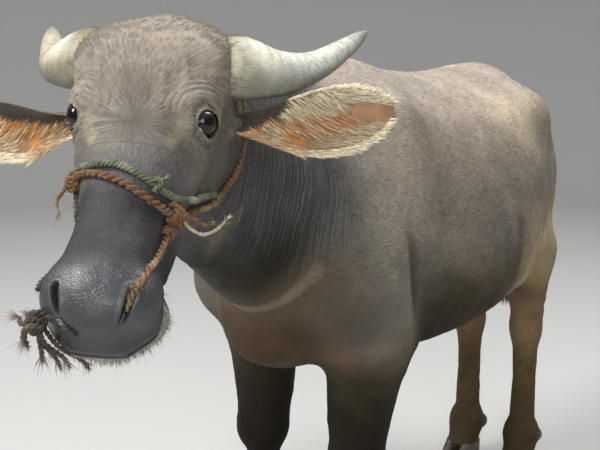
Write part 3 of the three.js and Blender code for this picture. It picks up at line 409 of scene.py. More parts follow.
COAT_DEPTH = 1.0
p = coordinates(skin_mesh) * 1000 - SHIFT
pairs = edges_of(skin_mesh)
for _ in range(4):
    p = evened(p, pairs, 0.6)
    p, _ = bring_to(flesh, p, COAT_DEPTH, 1, 4)
skin_mesh.vertices.foreach_set("co", world(p).ravel())


def refined(mesh, wanted):
    """Splits the faces whose centres the test picks, in the animal's own frame"""
    bm = bmesh.new()
    bm.from_mesh(mesh)
    centres = np.array([f.calc_center_median() for f in bm.faces]) * 1000 - SHIFT
    bm.faces.ensure_lookup_table()
    chosen = [bm.faces[i] for i in np.flatnonzero(wanted(centres))]
    edges = list({e for f in chosen for e in f.edges})
    bmesh.ops.subdivide_edges(bm, edges=edges, cuts=1, use_grid_fill=True)
    bm.to_mesh(mesh)
    bm.free()


refined(skin_mesh, lambda c: (c[:, 1] < -250) | (c[:, 2] < 620))
refined(skin_mesh, lambda c: (in_head(c)[:, 0] > -30) & (length(c - on_head(230, 0, -90)) < 290))


def eye_frame(side):
    ahead = along_head(0.3, side * 0.68, 0.67)
    along = along_head(-0.75, side * 0.6, -0.26)
    along = along - ahead * (along @ ahead)
    along /= np.linalg.norm(along)
    return on_head(*(EYE * [1, side, 1])), along, np.cross(ahead, along), ahead


NOSTRIL = np.array([[436, 46, -21], [450, 43, -25], [462, 37, -36], [474, 29, -51], [482, 18, -64]], float)


def to_route(q, route):
    """The distance of places from a polyline, and how far along it the nearest point is, from 0 to 1"""
    best, share = np.full(len(q), 1e9), np.zeros(len(q))
    for i in range(len(route) - 1):
        a, d = route[i], route[i + 1] - route[i]
        t = np.clip((q - a) @ d / (d @ d), 0, 1)
        r = length(q - a - t[:, None] * d)
        closer = r < best
        best[closer], share[closer] = r[closer], (i + t[closer]) / (len(route) - 1)
    return best, share


def is_fine(c):
    q = in_head(c)
    m = np.stack([q[:, 0], np.abs(q[:, 1]), q[:, 2]], 1)
    at_lips = np.abs(q[:, 2] + 90 + np.maximum(448 - q[:, 0], 0) * 0.23) < 12
    return (length(m - EYE) < 58) | (to_route(m, NOSTRIL)[0] < 24) | ((q[:, 0] > 372) & at_lips)


refined(skin_mesh, is_fine)
pairs = edges_of(skin_mesh)
p = coordinates(skin_mesh) * 1000 - SHIFT
p = evened(p, pairs, 0.5)
p, normal = bring_to(flesh, p, COAT_DEPTH, 2)
p = evened(p, pairs, 0.5)
p, normal = bring_to(flesh, p, COAT_DEPTH, 2)


# Folds, lids, nostrils and lips are moved into the skin along its normal
def smooth(low, high, x):
    t = np.clip((x - low) / (high - low), 0, 1)
    return t * t * (3 - 2 * t)


TABLE = np.random.default_rng(7).random(4096)


def grain(p, size, seed=0):
    """Smooth noise from -1 to 1 with lumps of the given size, which may differ per axis"""
    q = p / np.asarray(size, float) + 31.7 * seed
    cell = np.floor(q).astype(np.int64)
    f = q - cell
    f = f * f * (3 - 2 * f)
    total = 0
    for corner in range(8):
        step = np.array([corner & 1, corner >> 1 & 1, corner >> 2 & 1])
        key = (cell + step) @ np.array([73856093, 19349663, 83492791])
        weight = np.prod(np.where(step, f, 1 - f), axis=1)
        total = total + weight * TABLE[(key ^ (key >> 9)) & 4095]
    return 2 * total - 1


q = in_head(p)
m = np.stack([q[:, 0], np.abs(q[:, 1]), q[:, 2]], 1)
on_skull = smooth(60, -20, skull(p)) * smooth(-60, 0, q[:, 0])
NECK_AXIS = np.array([(0, -380, 940), (60, -630, 980), (150, -820, 1040), on_head(60, 0, -120)], float)
neck_share = to_route(p, NECK_AXIS)[1]
is_neck = smooth(0.12, 0.38, neck_share) * smooth(1.0, 0.93, neck_share) * smooth(70, 0, flesh(p))
is_neck *= 1 - smooth(-20, 12, q[:, 0]) * (neck_share > 0.9)

push = 0.9 * grain(p, 28, 1) + 0.5 * grain(p, 13, 2)

# Neck: long soft folds across it, deeper towards the throat
low_side = smooth(0.35, -0.6, normal[:, 2])
warp = 22 * grain(p, (150, 150, 260), 3) + 6 * grain(p, (45, 45, 110), 4)
fold_run = -0.9 * p[:, 1] + 0.42 * p[:, 0] + 0.05 * p[:, 2] + warp
folded = is_neck * smooth(770, 880, p[:, 2] - 0.25 * (p[:, 1] + 600)) * smooth(-0.75, -0.25, normal[:, 2])
push += folded * (0.5 + 0.5 * low_side) * 1.8 * np.sin(fold_run * 2 * math.pi / 30)
# Face: rings of skin over the eye, a hollow before the ear, a crease below the eye
eye_reach = length(m - EYE)
above_eye = smooth(0.1, 0.7, ((m - EYE) @ np.array([-0.8, -0.45, 0.4])) / np.maximum(eye_reach, 1))
brow_line = eye_reach + 1.5 * grain(p, 26, 6)
for reach, deep in ((34, 1.0), (43, 1.6), (50, 1.8), (58, 1.2)):
    push -= above_eye * deep * smooth(2.4, 0.5, np.abs(brow_line - reach))
push += above_eye * 2.2 * smooth(60, 46, eye_reach) * smooth(30, 40, eye_reach)
push -= 4.5 * smooth(34, 8, length(m - np.array([122, 101, -78])))
hollow = length((m - np.array([128, 44, 4])) / np.array([46, 15, 40]))
push -= 5 * smooth(1.1, 0.2, hollow)
TEAR_GROOVE = np.array([[-18.0, -1, 0], [-24, -4, 0], [-31, -9, 0]])
tear_depth = np.zeros(len(p))
for s in (1, -1):
    centre, along, across, ahead = eye_frame(s)
    d = p - centre
    on_lids = np.stack([d @ along, s * (d @ across), 0 * p[:, 0]], 1)
    groove_reach, groove_share = to_route(on_lids, TEAR_GROOVE)
    tear_depth += smooth(6.5, 1.5, groove_reach + 4.0 * groove_share) * (length(d) < 48)
push -= 2.0 * tear_depth

# Nose: the nostrils' wings stand up round their openings
nostril_reach, nostril_share = to_route(m, NOSTRIL)
wing = 5.8 - 2.6 * nostril_share
in_wings = nostril_reach / wing
push += 1.3 * smooth(0.8, 0.4, nostril_share) * smooth(2.6, 1.5, in_wings) * smooth(0.8, 1.3, in_wings)
push -= (9.5 - 8.7 * smooth(0.3, 0.75, nostril_share)) * smooth(1.15, 0.35, in_wings)

# Mouth: a line under the full upper lip, which swells above it
mouth_height = q[:, 2] + 90 + np.log1p(np.exp((448 - q[:, 0]) / 14)) * 3.2
at_mouth = smooth(376, 400, q[:, 0])
bridge_end = np.exp(-(((q[:, 0] - 384) / 20) ** 2))
push += 5 * bridge_end * smooth(-75, -35, q[:, 2]) * smooth(62, 36, np.abs(q[:, 1])) * on_skull
push -= at_mouth * 5.0 * smooth(3.6, 0.4, np.abs(mouth_height))
push += at_mouth * 1.8 * smooth(1, 6, mouth_height) * smooth(18, 9, mouth_height)
push += at_mouth * 1.2 * smooth(-1, -5, mouth_height) * smooth(-16, -8, mouth_height)

# Body: the hollow of the flank, the ribs, the blade's rear edge, and the folds before the thigh and behind the arm
outer = np.stack([np.abs(p[:, 0] - spine_x(p[:, 1])), p[:, 1], p[:, 2]], 1)
push -= 11 * smooth(1, 0.1, length((outer - np.array([215, 205, 1010])) / np.array([90, 75, 75])))
ribs = smooth(-250, -200, p[:, 1]) * smooth(190, 120, p[:, 1])
ribs = ribs * smooth(560, 640, p[:, 2]) * smooth(1080, 1000, p[:, 2])
push += ribs * 1.3 * np.sin((p[:, 1] + 0.22 * p[:, 2] + 8 * grain(p, 160, 5)) * 2 * math.pi / 46)
push -= 3 * smooth(1, 0.2, length((outer - np.array([230, -300, 900])) / np.array([80, 24, 150])))
flank_line = np.array([[296, -17, 830], [290, -10, 740], [272, -10, 660]], float)
flank_reach = to_route(outer, flank_line)[0]
push -= 2.5 * smooth(20, 3, flank_reach)
behind_arm = smooth(1, 0.1, length((outer - np.array([250, -366, 775])) / np.array([80, 26, 150])))
push -= 9 * behind_arm
push += 7 * smooth(1, 0.2, length((outer - np.array([240, -440, 740])) / np.array([80, 50, 120])))

# Legs: hollows between bone and tendon
for s in (1, -1):
    for x, y, z, back in ((s * 142, -386, 235, 0), (*HIND_FEET[s], 290, 52)):
        hollow = np.array([[x + 36, y + back, z + 60], [x + 36, y + back, z - 70]], float)
        mirrored = np.stack([x + np.abs(p[:, 0] - x), p[:, 1], p[:, 2]], 1)
        push -= 5 * smooth(16, 4, to_route(mirrored, hollow)[0])
p = p + normal * push[:, None]

# Lids: they part in an almond, whose edges turn in under the eyeball
eye_edge = np.full(len(p), -99.0)
for s in (1, -1):
    centre, along, across, ahead = eye_frame(s)
    d = p - centre
    a, b, c = d @ along, d @ across, d @ ahead
    radius = length(d)
    curve = 1 - ((a + 2) / 20) ** 2
    curve = np.sign(curve) * np.abs(curve) ** 0.72
    edge = np.minimum(16.5 * curve - b, b + 9.0 * curve) * np.where(curve > 0, 0.85, 1)
    front = (c > 4) & (radius < 34)
    rim = smooth(-6.5, -3, edge) * smooth(-0.4, -2.4, edge)
    close = smooth(-14, -2, edge)
    wanted = radius + (EYE_RADIUS + 1.6 - radius) * close + np.where(b > 0, 1.3, 0.7) * rim
    wanted = wanted + (EYE_RADIUS - 3.5 - wanted) * smooth(-0.9, 1.0, edge)
    p[front] = centre + d[front] * (wanted / radius)[front, None]
    eye_edge[front] = edge[front]
skin_mesh.vertices.foreach_set("co", world(p).ravel())
skin_mesh.polygons.foreach_set("use_smooth", np.ones(len(skin_mesh.polygons), bool))
skin_mesh.update()

skin = bpy.data.objects.new("Skin", skin_mesh)
bpy.context.scene.collection.objects.link(skin)
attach(skin, "root")
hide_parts(*FLESH_NODES)

# Markings: one colour a vertex, by its place on the animal, which the coat takes over. Other attributes give the shader
# the lie of the hair, the folds of the neck, nose and legs, and how wet or bare the skin is.


def rgb(code):
    value = np.array([int(code[i : i + 2], 16) for i in (0, 2, 4)]) / 255
    return np.where(value <= 0.04045, value / 12.92, ((value + 0.055) / 1.055) ** 2.4)


def mix(a, b, share):
    return a + (b - a) * np.clip(share, 0, 1)[:, None]


def painted(colour, *coats):
    """Lays colours over one another, each given as a code and its share at every place"""
    for code, share in coats:
        colour = mix(colour, rgb(code), share)
    return colour


def around(places, centre, radii):
    """How far places are from a centre, where 1 is the surface of an ellipsoid"""
    return length((places - np.array(centre)) / np.array(radii))


q = in_head(p)
m = np.stack([q[:, 0], np.abs(q[:, 1]), q[:, 2]], 1)
skull_reach = near(skull, p, on_head(230, 0, -100), 330)
head_share = smooth(26, 4, skull_reach) * smooth(-34, 6, q[:, 0] - 0.35 * (q[:, 2] + 110))
up_facing = normal[:, 2]
x, y, z = p.T
lumps = grain(p, 60, 11) * 0.5 + grain(p, 22, 12) * 0.5
shoulder = around(outer, [200, -400, 960], [140, 130, 190])
brisket = around(p, [30, -620, 640], [190, 150, 110])
hip = around(outer, [200, 100, 1060], [110, 170, 120])
thigh = around(outer, [190, 420, 760], [140, 170, 170])
at_neck = smooth(0.10, 0.30, neck_share) * smooth(-240, -420, y)
fore, hind = (y < -230) & (y > -560), y > 215

# Body and neck: dusty above, and paler on upward-facing hide as painted top light, with painted shade on the
# downward-facing underside and a darker neck
hide = painted(
    np.tile(rgb("6e675e"), (len(p), 1)),
    # Painted top light over real dust: upward-facing hide on the flanks and back is paler
    ("8b8072", smooth(820, 1080, z + 40 * lumps) * smooth(-0.5, 0.5, up_facing)),
    ("9c9184", smooth(1010, 1150, z + 30 * lumps) * smooth(0.1, 0.8, up_facing) * 0.9),
    ("827c6b", smooth(210, 430, y + 40 * lumps) * smooth(640, 900, z) * 0.7),
    ("544c3d", smooth(720, 560, z + 40 * lumps) * 0.85),
    # Painted shade: downward-facing hide low on the body is darker
    ("3a3022", smooth(620, 500, z) * smooth(0.2, -0.5, up_facing)),
    ("8a8275", smooth(1.1, 0.3, shoulder) * 0.5),
    ("4b4b4c", at_neck * 0.92),
    # Painted top light: the upward-facing top of the neck is paler
    ("8a8072", at_neck * smooth(0.35, 0.9, up_facing) * smooth(900, 1100, z) * 0.7),
    ("50473a", at_neck * smooth(900, 780, z + 20 * lumps)),
    ("6f5b4d", smooth(1.2, 0.3, brisket + 0.15 * lumps) * 0.9),
)
# The pale chevron that a swamp buffalo wears across its chest, the paler band under its throat, and painted shade in
# each armpit
for s in (1, -1):
    armpit = around(p, [s * 150, -480, 610], [90, 110, 80])
    chevron = [[45, -697, 714], [45 + s * 60, -686, 722], [45 + s * 112, -660, 747], [45 + s * 145, -606, 796]]
    reach, share = to_route(p, np.array(chevron, float))
    throat = np.array([on_head(124, s * 104, -285), on_head(166, s * 68, -311), on_head(153, s * 19, -423)])
    hide = painted(
        hide,
        # Painted shade in the armpit
        ("5f4b3c", smooth(1.1, 0.4, armpit) * 0.8),
        ("8f836c", smooth(28, 4, reach + 7 * lumps) * (0.75 - 0.5 * share)),
        ("7d7966", smooth(17, 3, to_route(p, throat)[0] + 4 * lumps) * 0.6),
    )
hide = painted(
    hide,
    ("3d3828", fore * smooth(640, 470, z + 30 * lumps)),
    ("2b2820", fore * smooth(470, 330, z + 30 * lumps) * 0.8),
    ("7f7a67", hind * smooth(900, 700, z) * 0.85),
    ("58543f", hind * smooth(470, 300, z + 30 * lumps)),
    ("454234", hind * smooth(230, 120, z)),
)

# Painted shade makes the underside darker and browner and darkens the flank crease, the fold behind the arm and the
# lower brisket. There is mud on the forelegs, and the hips, thighs and shoulders are pale
behind_flank = smooth(-45, 70, y + 25 * lumps) * smooth(900, 720, z + 40 * lumps)
behind_flank = behind_flank * smooth(540, 640, z) * smooth(110, 240, x)
belly_shade = smooth(850, 640, z + 25 * lumps) * smooth(-400, -330, y) * smooth(330, 200, y)
for share, factors in (
    # Painted shade under the barrel
    (belly_shade * (1 - behind_flank), (0.24, 0.20, 0.12)),
    (behind_flank * smooth(400, 190, y), (2.1, 1.85, 1.4)),
    # Painted shade in the flank crease, in the fold behind the arm and under the brisket
    (smooth(24, 4, flank_reach) * smooth(640, 700, z), (0.7, 0.65, 0.6)),
    (behind_arm * smooth(900, 800, z), (0.5, 0.46, 0.4)),
    (smooth(1.2, 0.5, brisket) * smooth(760, 640, z), (0.45, 0.42, 0.32)),
    (smooth(0.3, 0.55, neck_share) * at_neck * smooth(960, 840, z + 15 * lumps), (0.26, 0.24, 0.17)),
    (at_neck * smooth(0.6, 0.3, neck_share) * smooth(700, 850, z), (1.3, 1.3, 1.25)),
    (fore * smooth(620, 440, z + 25 * lumps), (0.25, 0.20, 0.14)),
    (smooth(1.1, 0.3, shoulder), (1.4, 1.4, 1.4)),
    (hind * smooth(720, 560, z), (0.85, 0.62, 0.46)),
    (smooth(1.1, 0.2, hip + 0.15 * lumps), (1.6, 1.58, 1.45)),
    (smooth(1.1, 0.3, thigh), (1.35, 1.22, 0.95)),
):
    hide = hide * (1 + (np.array(factors) - 1) * share[:, None])

# Face: pale and dusty over the brow, greyer down the bridge, near black and bare at the muzzle, with painted shade down
# the middle of the forehead, in the nostrils and in the mouth line
eye_reach = length(m - EYE)
below_tear = to_route(m, np.array([[190, 66, -16], [221, 51, -15.0]]))[0]
shade_between_brows = smooth(30, 12, np.abs(q[:, 1] + 4) + 4 * lumps) * smooth(235, 190, q[:, 0]) * smooth(90, 140, q[:, 0])
face = painted(
    np.tile(rgb("625c54"), (len(p), 1)),
    ("7d7468", smooth(215, 120, q[:, 0] + 12 * lumps) * smooth(-100, -30, q[:, 2])),
    ("8f8577", smooth(75, 5, q[:, 0] + 15 * lumps) * smooth(-110, -30, q[:, 2])),
    ("5f5a52", smooth(-70, -120, q[:, 2])),
    ("4c4843", smooth(-135, -185, q[:, 2])),
    # Painted shade down the middle of the forehead, between the brows
    ("544d46", shade_between_brows * 0.6),
    ("8a8377", smooth(62, 36, eye_reach) * 0.4),
    ("857f66", smooth(13, 3, below_tear + 3 * lumps) * 0.7),
    ("5a5655", smooth(218, 252, q[:, 0] + 12 * lumps)),
    ("343234", smooth(262, 320, q[:, 0] + 15 * lumps)),
    ("37373b", smooth(390, 430, q[:, 0])),
    ("35332f", smooth(330, 380, q[:, 0]) * smooth(-100, -140, q[:, 2])),
    # Painted shade inside the nostril openings
    ("1e1c1d", smooth(1.1, 0.7, in_wings) * smooth(0.75, 0.4, nostril_share)),
    ("2b2827", smooth(-50, -80, q[:, 2]) * smooth(370, 400, q[:, 0])),
    ("a39d8f", smooth(-3, -9, mouth_height) * smooth(385, 405, q[:, 0]) * 0.9),
    # Painted shade in the mouth line
    ("1c1919", at_mouth * smooth(5, 1.5, np.abs(mouth_height))),
)
# Dark lid margins, with painted shade where the lids turn in under the eyeball and along the tear groove
dark_rim_and_tear_shade = np.maximum(smooth(-1.8, -0.5, eye_edge), 0.6 * tear_depth)
upper_arc = smooth(-7.0, -5.2, eye_edge) * smooth(-1.2, -2.4, eye_edge)
tint = painted(hide + (face - hide) * head_share[:, None], ("a29d93", upper_arc * 0.8), ("1d1917", dark_rim_and_tear_shade))
tint *= (1 + 0.10 * grain(p, 35, 14) + 0.07 * grain(p, 9, 15))[:, None]
wet = np.clip(smooth(385, 430, q[:, 0]) * head_share + 0.2 * smooth(215, 300, q[:, 0]) * head_share, 0, 1)
wet = np.maximum(wet, dark_rim_and_tear_shade)

# Hair lies away from the whorl on the head, backwards on the body and down the legs
WHORL = np.array([202, 4, -2.0])
from_whorl = q - WHORL
leg_y = np.where(y < 0, -405, 384)
down_leg = smooth(760, 600, z) * smooth(260, 160, np.abs(y - leg_y))
comb = np.stack([x, y * 0.14 + down_leg * 0.86 * (y - leg_y), z * (1 - 0.86 * down_leg)], 1)
angle = np.arctan2(from_whorl[:, 1], -from_whorl[:, 0])
on_face = head_share > 0.5
comb[on_face] = np.stack([angle * 85, length(from_whorl) * 0.15, 0 * angle], 1)[on_face]
down_nose = on_face & (q[:, 0] > 232)
comb[down_nose] = (q * [0.3, 1, 1])[down_nose]
streak = grain(comb * [0.24, 0.16, 0.5], 1.0, 13) * on_face
streak = streak * smooth(232, 196, q[:, 0]) * smooth(8, 40, length(from_whorl))
whorl_dust = smooth(52, 15, around(m, [208, 22, -4], [1.3, 1, 1]))
tint = painted(tint, ("b3aca0", whorl_dust * smooth(-0.5, 0.8, streak) * 0.25))
tint = tint * (1 + 0.05 * streak * smooth(0, 30, length(from_whorl)))[:, None]

# Creases run round the neck, across the bridge of the nose and round the hocks; the hide's shader paints shade in their
# hollows and light on their ridges
at_nose = smooth(285, 325, q[:, 0]) * smooth(425, 395, q[:, 0]) * smooth(-70, -25, q[:, 2])
at_nose = at_nose * head_share * smooth(-0.3, 0.5, grain(p, 24, 18))
crease = np.where(on_face, q[:, 0] * 1.5 + 5 * grain(p, 20, 16), fold_run)
crease_depth = np.where(on_face, at_nose * 0.2, folded * (1 - head_share))
on_hock = hind & (z < 640)
crease = np.where(on_hock, z * 0.9 + 10 * grain(p, 60, 17), crease)
crease_depth = np.where(on_hock, smooth(640, 560, z) * smooth(90, 160, z) * 0.2, crease_depth)


def attribute(mesh, name, kind, values):
    field = {"FLOAT_COLOR": "color", "FLOAT_VECTOR": "vector", "FLOAT": "value"}[kind]
    if kind == "FLOAT_COLOR":
        values = np.concatenate([np.clip(values, 0, 1), np.ones((len(values), 1))], 1)
    made = mesh.attributes.new(name, kind, "POINT")
    made.data.foreach_set(field, np.ascontiguousarray(values, np.float32).ravel())


attribute(skin_mesh, "Tint", "FLOAT_COLOR", tint)
attribute(skin_mesh, "Comb", "FLOAT_VECTOR", comb)
attribute(skin_mesh, "Crease", "FLOAT", crease)
attribute(skin_mesh, "CreaseDepth", "FLOAT", crease_depth)
attribute(skin_mesh, "Wet", "FLOAT", wet)


class Nodes:
    """Short calls for the nodes of one material"""

    def __init__(self, name, roughness=0.6, **fixed):
        self.material = bpy.data.materials.new(name)
        self.material.use_nodes = True
        self.tree = self.material.node_tree
        self.shader = self.tree.nodes["Principled BSDF"]
        self.shader.inputs["Roughness"].default_value = roughness
        for key, value in fixed.items():
            self.shader.inputs[key.replace("_", " ")].default_value = value

    def node(self, kind, settings=None, **inputs):
        made = self.tree.nodes.new(kind)
        for key, value in (settings or {}).items():
            setattr(made, key, value)
        for key, value in inputs.items():
            numbered = key[0] == "_" and key[1:].isdigit()
            socket = made.inputs[int(key[1:]) if numbered else key.replace("_", " ")]
            if isinstance(value, bpy.types.NodeSocket):
                self.tree.links.new(value, socket)
            else:
                socket.default_value = value
        return made

    def math(self, operation, a, b=0.0):
        return self.node("ShaderNodeMath", {"operation": operation}, _0=a, _1=b).outputs[0]

    def read(self, name, output="Fac"):
        return self.node("ShaderNodeAttribute", {"attribute_name": name}).outputs[output]

    def noise(self, vector, scale, detail=2.0, **more):
        return self.node("ShaderNodeTexNoise", None, Vector=vector, Scale=scale, Detail=detail, **more).outputs["Fac"]

    def ramp(self, value, low, high, to_low=0.0, to_high=1.0):
        ends = {"From_Min": low, "From_Max": high, "To_Min": to_low, "To_Max": to_high}
        return self.node("ShaderNodeMapRange", None, Value=value, **ends).outputs[0]

    def varied(self, value, low, high):
        """A noise brought to a factor between two values"""
        return self.ramp(value, 0.3, 0.7, low, high)

    def place(self):
        return self.node("ShaderNodeTexCoord").outputs["Object"]

    def times(self, a, b):
        return self.math("MULTIPLY", a, b)

    def plus(self, a, b):
        return self.math("ADD", a, b)

    def scaled(self, colour, factor):
        return self.node("ShaderNodeVectorMath", {"operation": "SCALE"}, _0=colour, Scale=factor).outputs[0]

    def blend(self, share, a, b):
        return self.node("ShaderNodeMix", {"data_type": "RGBA"}, _0=share, _6=a, _7=b).outputs[2]

    def tinted(self, factor):
        """The vertex colours times a factor"""
        return self.scaled(self.read("Tint", "Color"), factor)

    def finish(self, colour=None, roughness=None, height=None, distance=0.001, strength=1.0):
        link = self.tree.links.new
        if colour is not None:
            link(colour, self.shader.inputs["Base Color"])
        if roughness is not None:
            link(roughness, self.shader.inputs["Roughness"])
        if height is not None:
            bump = self.node("ShaderNodeBump", None, Height=height, Distance=distance, Strength=strength)
            link(bump.outputs[0], self.shader.inputs["Normal"])
        return self.material


# Hide: short hair over dry skin, with folds as ridges and hollows, painted darker in the hollows as shade and lighter
# on the ridges as light. The bare muzzle is wet, smoother and finely cracked.
n = Nodes("Hide")
place = n.place()
comb_at = n.read("Comb", "Vector")
hairs = n.noise(comb_at, 0.42, 3.0)
fine_hairs = n.noise(comb_at, 1.1, 2.0)
patches = n.noise(place, 9.0, 4.0)
specks = n.noise(place, 230.0, 2.0)
wave = n.plus(n.times(n.read("Crease"), 0.21), n.times(n.noise(place, 28.0, 2.0), 1.6))
ridges = n.node("ShaderNodeTexNoise", {"noise_dimensions": "1D"}, W=wave, Scale=1.0, Detail=2.0).outputs["Fac"]
ridge = n.ramp(ridges, 0.36, 0.62)
depth = n.read("CreaseDepth")
is_wet = n.read("Wet")
dry = n.math("SUBTRACT", 1.0, is_wet)
hair_tone = n.math("SUBTRACT", n.varied(hairs, 0.72, 1.32), 1.0)
hair_tone = n.plus(n.times(hair_tone, n.ramp(is_wet, 0.0, 1.0, 1.0, 0.25)), 1.0)
tone = n.times(n.times(hair_tone, n.varied(patches, 0.80, 1.20)), n.varied(specks, 0.93, 1.07))
# Painted shade in the crease hollows and painted light on their ridges
tone = n.times(tone, n.plus(1.0, n.times(depth, n.ramp(ridge, 0.0, 1.0, -0.42, 0.20))))
cells = n.node("ShaderNodeTexVoronoi", {"feature": "DISTANCE_TO_EDGE"}, Vector=place, Scale=330.0).outputs["Distance"]
cracks = n.ramp(cells, 0.0, 0.12)
height = n.times(n.plus(n.times(hairs, 0.9), n.times(fine_hairs, 0.45)), dry)
height = n.plus(height, n.times(n.times(ridge, depth), 2.6))
height = n.plus(height, n.times(n.times(cracks, is_wet), 0.14))
height = n.plus(height, n.times(specks, 0.25))
rough = n.plus(n.ramp(is_wet, 0.0, 1.0, 0.66, 0.34), n.times(n.math("SUBTRACT", patches, 0.5), 0.25))
n.tree.links.new(n.ramp(is_wet, 0.0, 1.0, 0.15, 0.55), n.shader.inputs["Specular IOR Level"])
skin_mesh.materials.append(n.finish(n.tinted(tone), rough, height, 0.0011))


# Pieces: small makers of the meshes that lie on the skin, in the animal's own frame. Each piece rides the one body,
# carries its own colours, and hides the solids it stands for.


def piece(name, vertices, faces, material, slot, nodes=(), tint=None, uv=None, more=None):
    mesh = bpy.data.meshes.new(name)
    faces = faces.tolist() if isinstance(faces, np.ndarray) else [list(map(int, f)) for f in faces]
    mesh.from_pydata(world(vertices).tolist(), [], faces)
    mesh.polygons.foreach_set("use_smooth", np.ones(len(mesh.polygons), bool))
    if tint is not None:
        attribute(mesh, "Tint", "FLOAT_COLOR", tint)
    for key, (kind, values) in (more or {}).items():
        attribute(mesh, key, kind, values)
    if uv is not None:
        layer = mesh.uv_layers.new(name="OFBake")
        loops = np.empty(len(mesh.loops), np.int64)
        mesh.loops.foreach_get("vertex_index", loops)
        layer.data.foreach_set("uv", np.asarray(uv, np.float32)[loops].ravel())
    mesh.materials.append(material)
    made = bpy.data.objects.new(name, mesh)
    bpy.context.scene.collection.objects.link(made)
    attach(made, "root")
    if nodes:
        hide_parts(*nodes)
    return made


def unit(v):
    v = np.asarray(v, float)
    return v / np.maximum(np.linalg.norm(v, axis=-1, keepdims=True), 1e-9)


def curve(points, t):
    points = np.asarray(points, float)
    padded = np.vstack([2 * points[0] - points[1], points, 2 * points[-1] - points[-2]])
    at = np.clip(np.atleast_1d(t), 0, 1) * (len(points) - 1)
    i = np.minimum(at.astype(int), len(points) - 2)
    u = (at - i)[:, None]
    a, b, c, d = (padded[i + k] for k in range(4))
    ab, bc, cd = (np.sqrt(np.linalg.norm(f - e, axis=1, keepdims=True)) for e, f in ((a, b), (b, c), (c, d)))
    start = ((b - a) / ab - (c - a) / (ab + bc) + (c - b) / bc) * bc
    end = ((c - b) / bc - (d - b) / (bc + cd) + (d - c) / cd) * bc
    u2, u3 = u * u, u * u * u
    return (2 * u3 - 3 * u2 + 1) * b + (u3 - 2 * u2 + u) * start + (3 * u2 - 2 * u3) * c + (u3 - u2) * end


def spaced(points, spacing):
    """Places along a curve through the points, evenly spaced"""
    fine = curve(points, np.linspace(0, 1, 60 * len(points)))
    run = np.r_[0, np.cumsum(np.linalg.norm(np.diff(fine, axis=0), axis=1))]
    wanted = np.linspace(0, run[-1], max(int(run[-1] / spacing), 2) + 1)
    return np.stack([np.interp(wanted, run, fine[:, k]) for k in range(3)], 1)


def tube_faces(rows, columns, first=0, caps=True):
    i, j = np.meshgrid(np.arange(rows - 1), np.arange(columns), indexing="ij")
    a, b = i * columns + j, i * columns + (j + 1) % columns
    sides = np.stack([a, b, b + columns, a + columns], -1).reshape(-1, 4) + first
    faces = sides.tolist()
    if caps:
        faces.append((np.arange(columns)[::-1] + first).tolist())
        faces.append((np.arange(columns) + first + (rows - 1) * columns).tolist())
    return faces


def frames(path):
    """Sideways and upward directions along a path, turning as little as they can"""
    ahead = unit(np.gradient(path, axis=0))
    first = np.cross(ahead[0], [0.3, 0.2, 1])
    sideways = [unit(first)]
    for i in range(1, len(path)):
        v = sideways[-1] - ahead[i] * (sideways[-1] @ ahead[i])
        sideways.append(unit(v))
    sideways = np.array(sideways)
    return sideways, np.cross(sideways, ahead), ahead


HALF_PATCH = 0.0015


class Tufts:
    """Hair as flat, three-sided, tapered strips that bend towards their tips, each with its own patch on the unwrap"""

    def __init__(self, segments=3):
        self.segments, self.parts = segments, []

    def add(self, root, along, normal, size, width, bend, base, tip, where, taper=0.75):
        count = len(root)
        along, normal = unit(along), unit(normal)
        across = unit(np.cross(along, normal))
        up = np.cross(across, along)
        size, width = np.broadcast_to(size, count)[:, None], np.broadcast_to(width, count)[:, None]
        bend = np.broadcast_to(bend, (count, 3))
        levels = np.linspace(0, 1, self.segments + 1)
        rows, tints, uvs = [], [], []
        for k, t in enumerate(levels):
            centre = root + size * (along * t + bend * t * t)
            wide = width * (1 - t**1.6 * taper) * (0.85 if t == 0 else 1)
            if k == self.segments:
                rows.append(centre[:, None])
            else:
                edges = (centre - across * wide / 2, centre + across * wide / 2, centre + up * wide * 0.32)
                rows.append(np.stack(edges, 1))
            colour = base + (tip - base) * t
            tints.append(np.repeat(colour[:, None], rows[-1].shape[1], 1))
            side = [-1, 1, 0] if k < self.segments else [0]
            patch = np.stack([np.tile(side, (count, 1)), np.full((count, len(side)), 2 * t - 1)], -1)
            uvs.append(where[:, None] + HALF_PATCH * patch)
        self.parts.append([np.concatenate(v, 1) for v in (rows, tints, uvs)])

    def make(self, name, material, slot, nodes=()):
        rows, tints, uvs = (np.concatenate([part[k] for part in self.parts]) for k in range(3))
        count, each = rows.shape[:2]
        pattern = []
        for k in range(self.segments - 1):
            for j in range(3):
                a, b = 3 * k + j, 3 * k + (j + 1) % 3
                pattern += [(a, b, b + 3), (a, b + 3, a + 3)]
        last = 3 * (self.segments - 1)
        pattern += [(last + j, last + (j + 1) % 3, last + 3) for j in range(3)]
        pattern = np.array(pattern)
        faces = (np.arange(count)[:, None, None] * each + pattern[None]).reshape(-1, 3)
        uvs = np.clip(uvs.reshape(-1, 2), 0, 1)
        return piece(name, rows.reshape(-1, 3), faces, material, slot, nodes, tints.reshape(-1, 3), uvs)


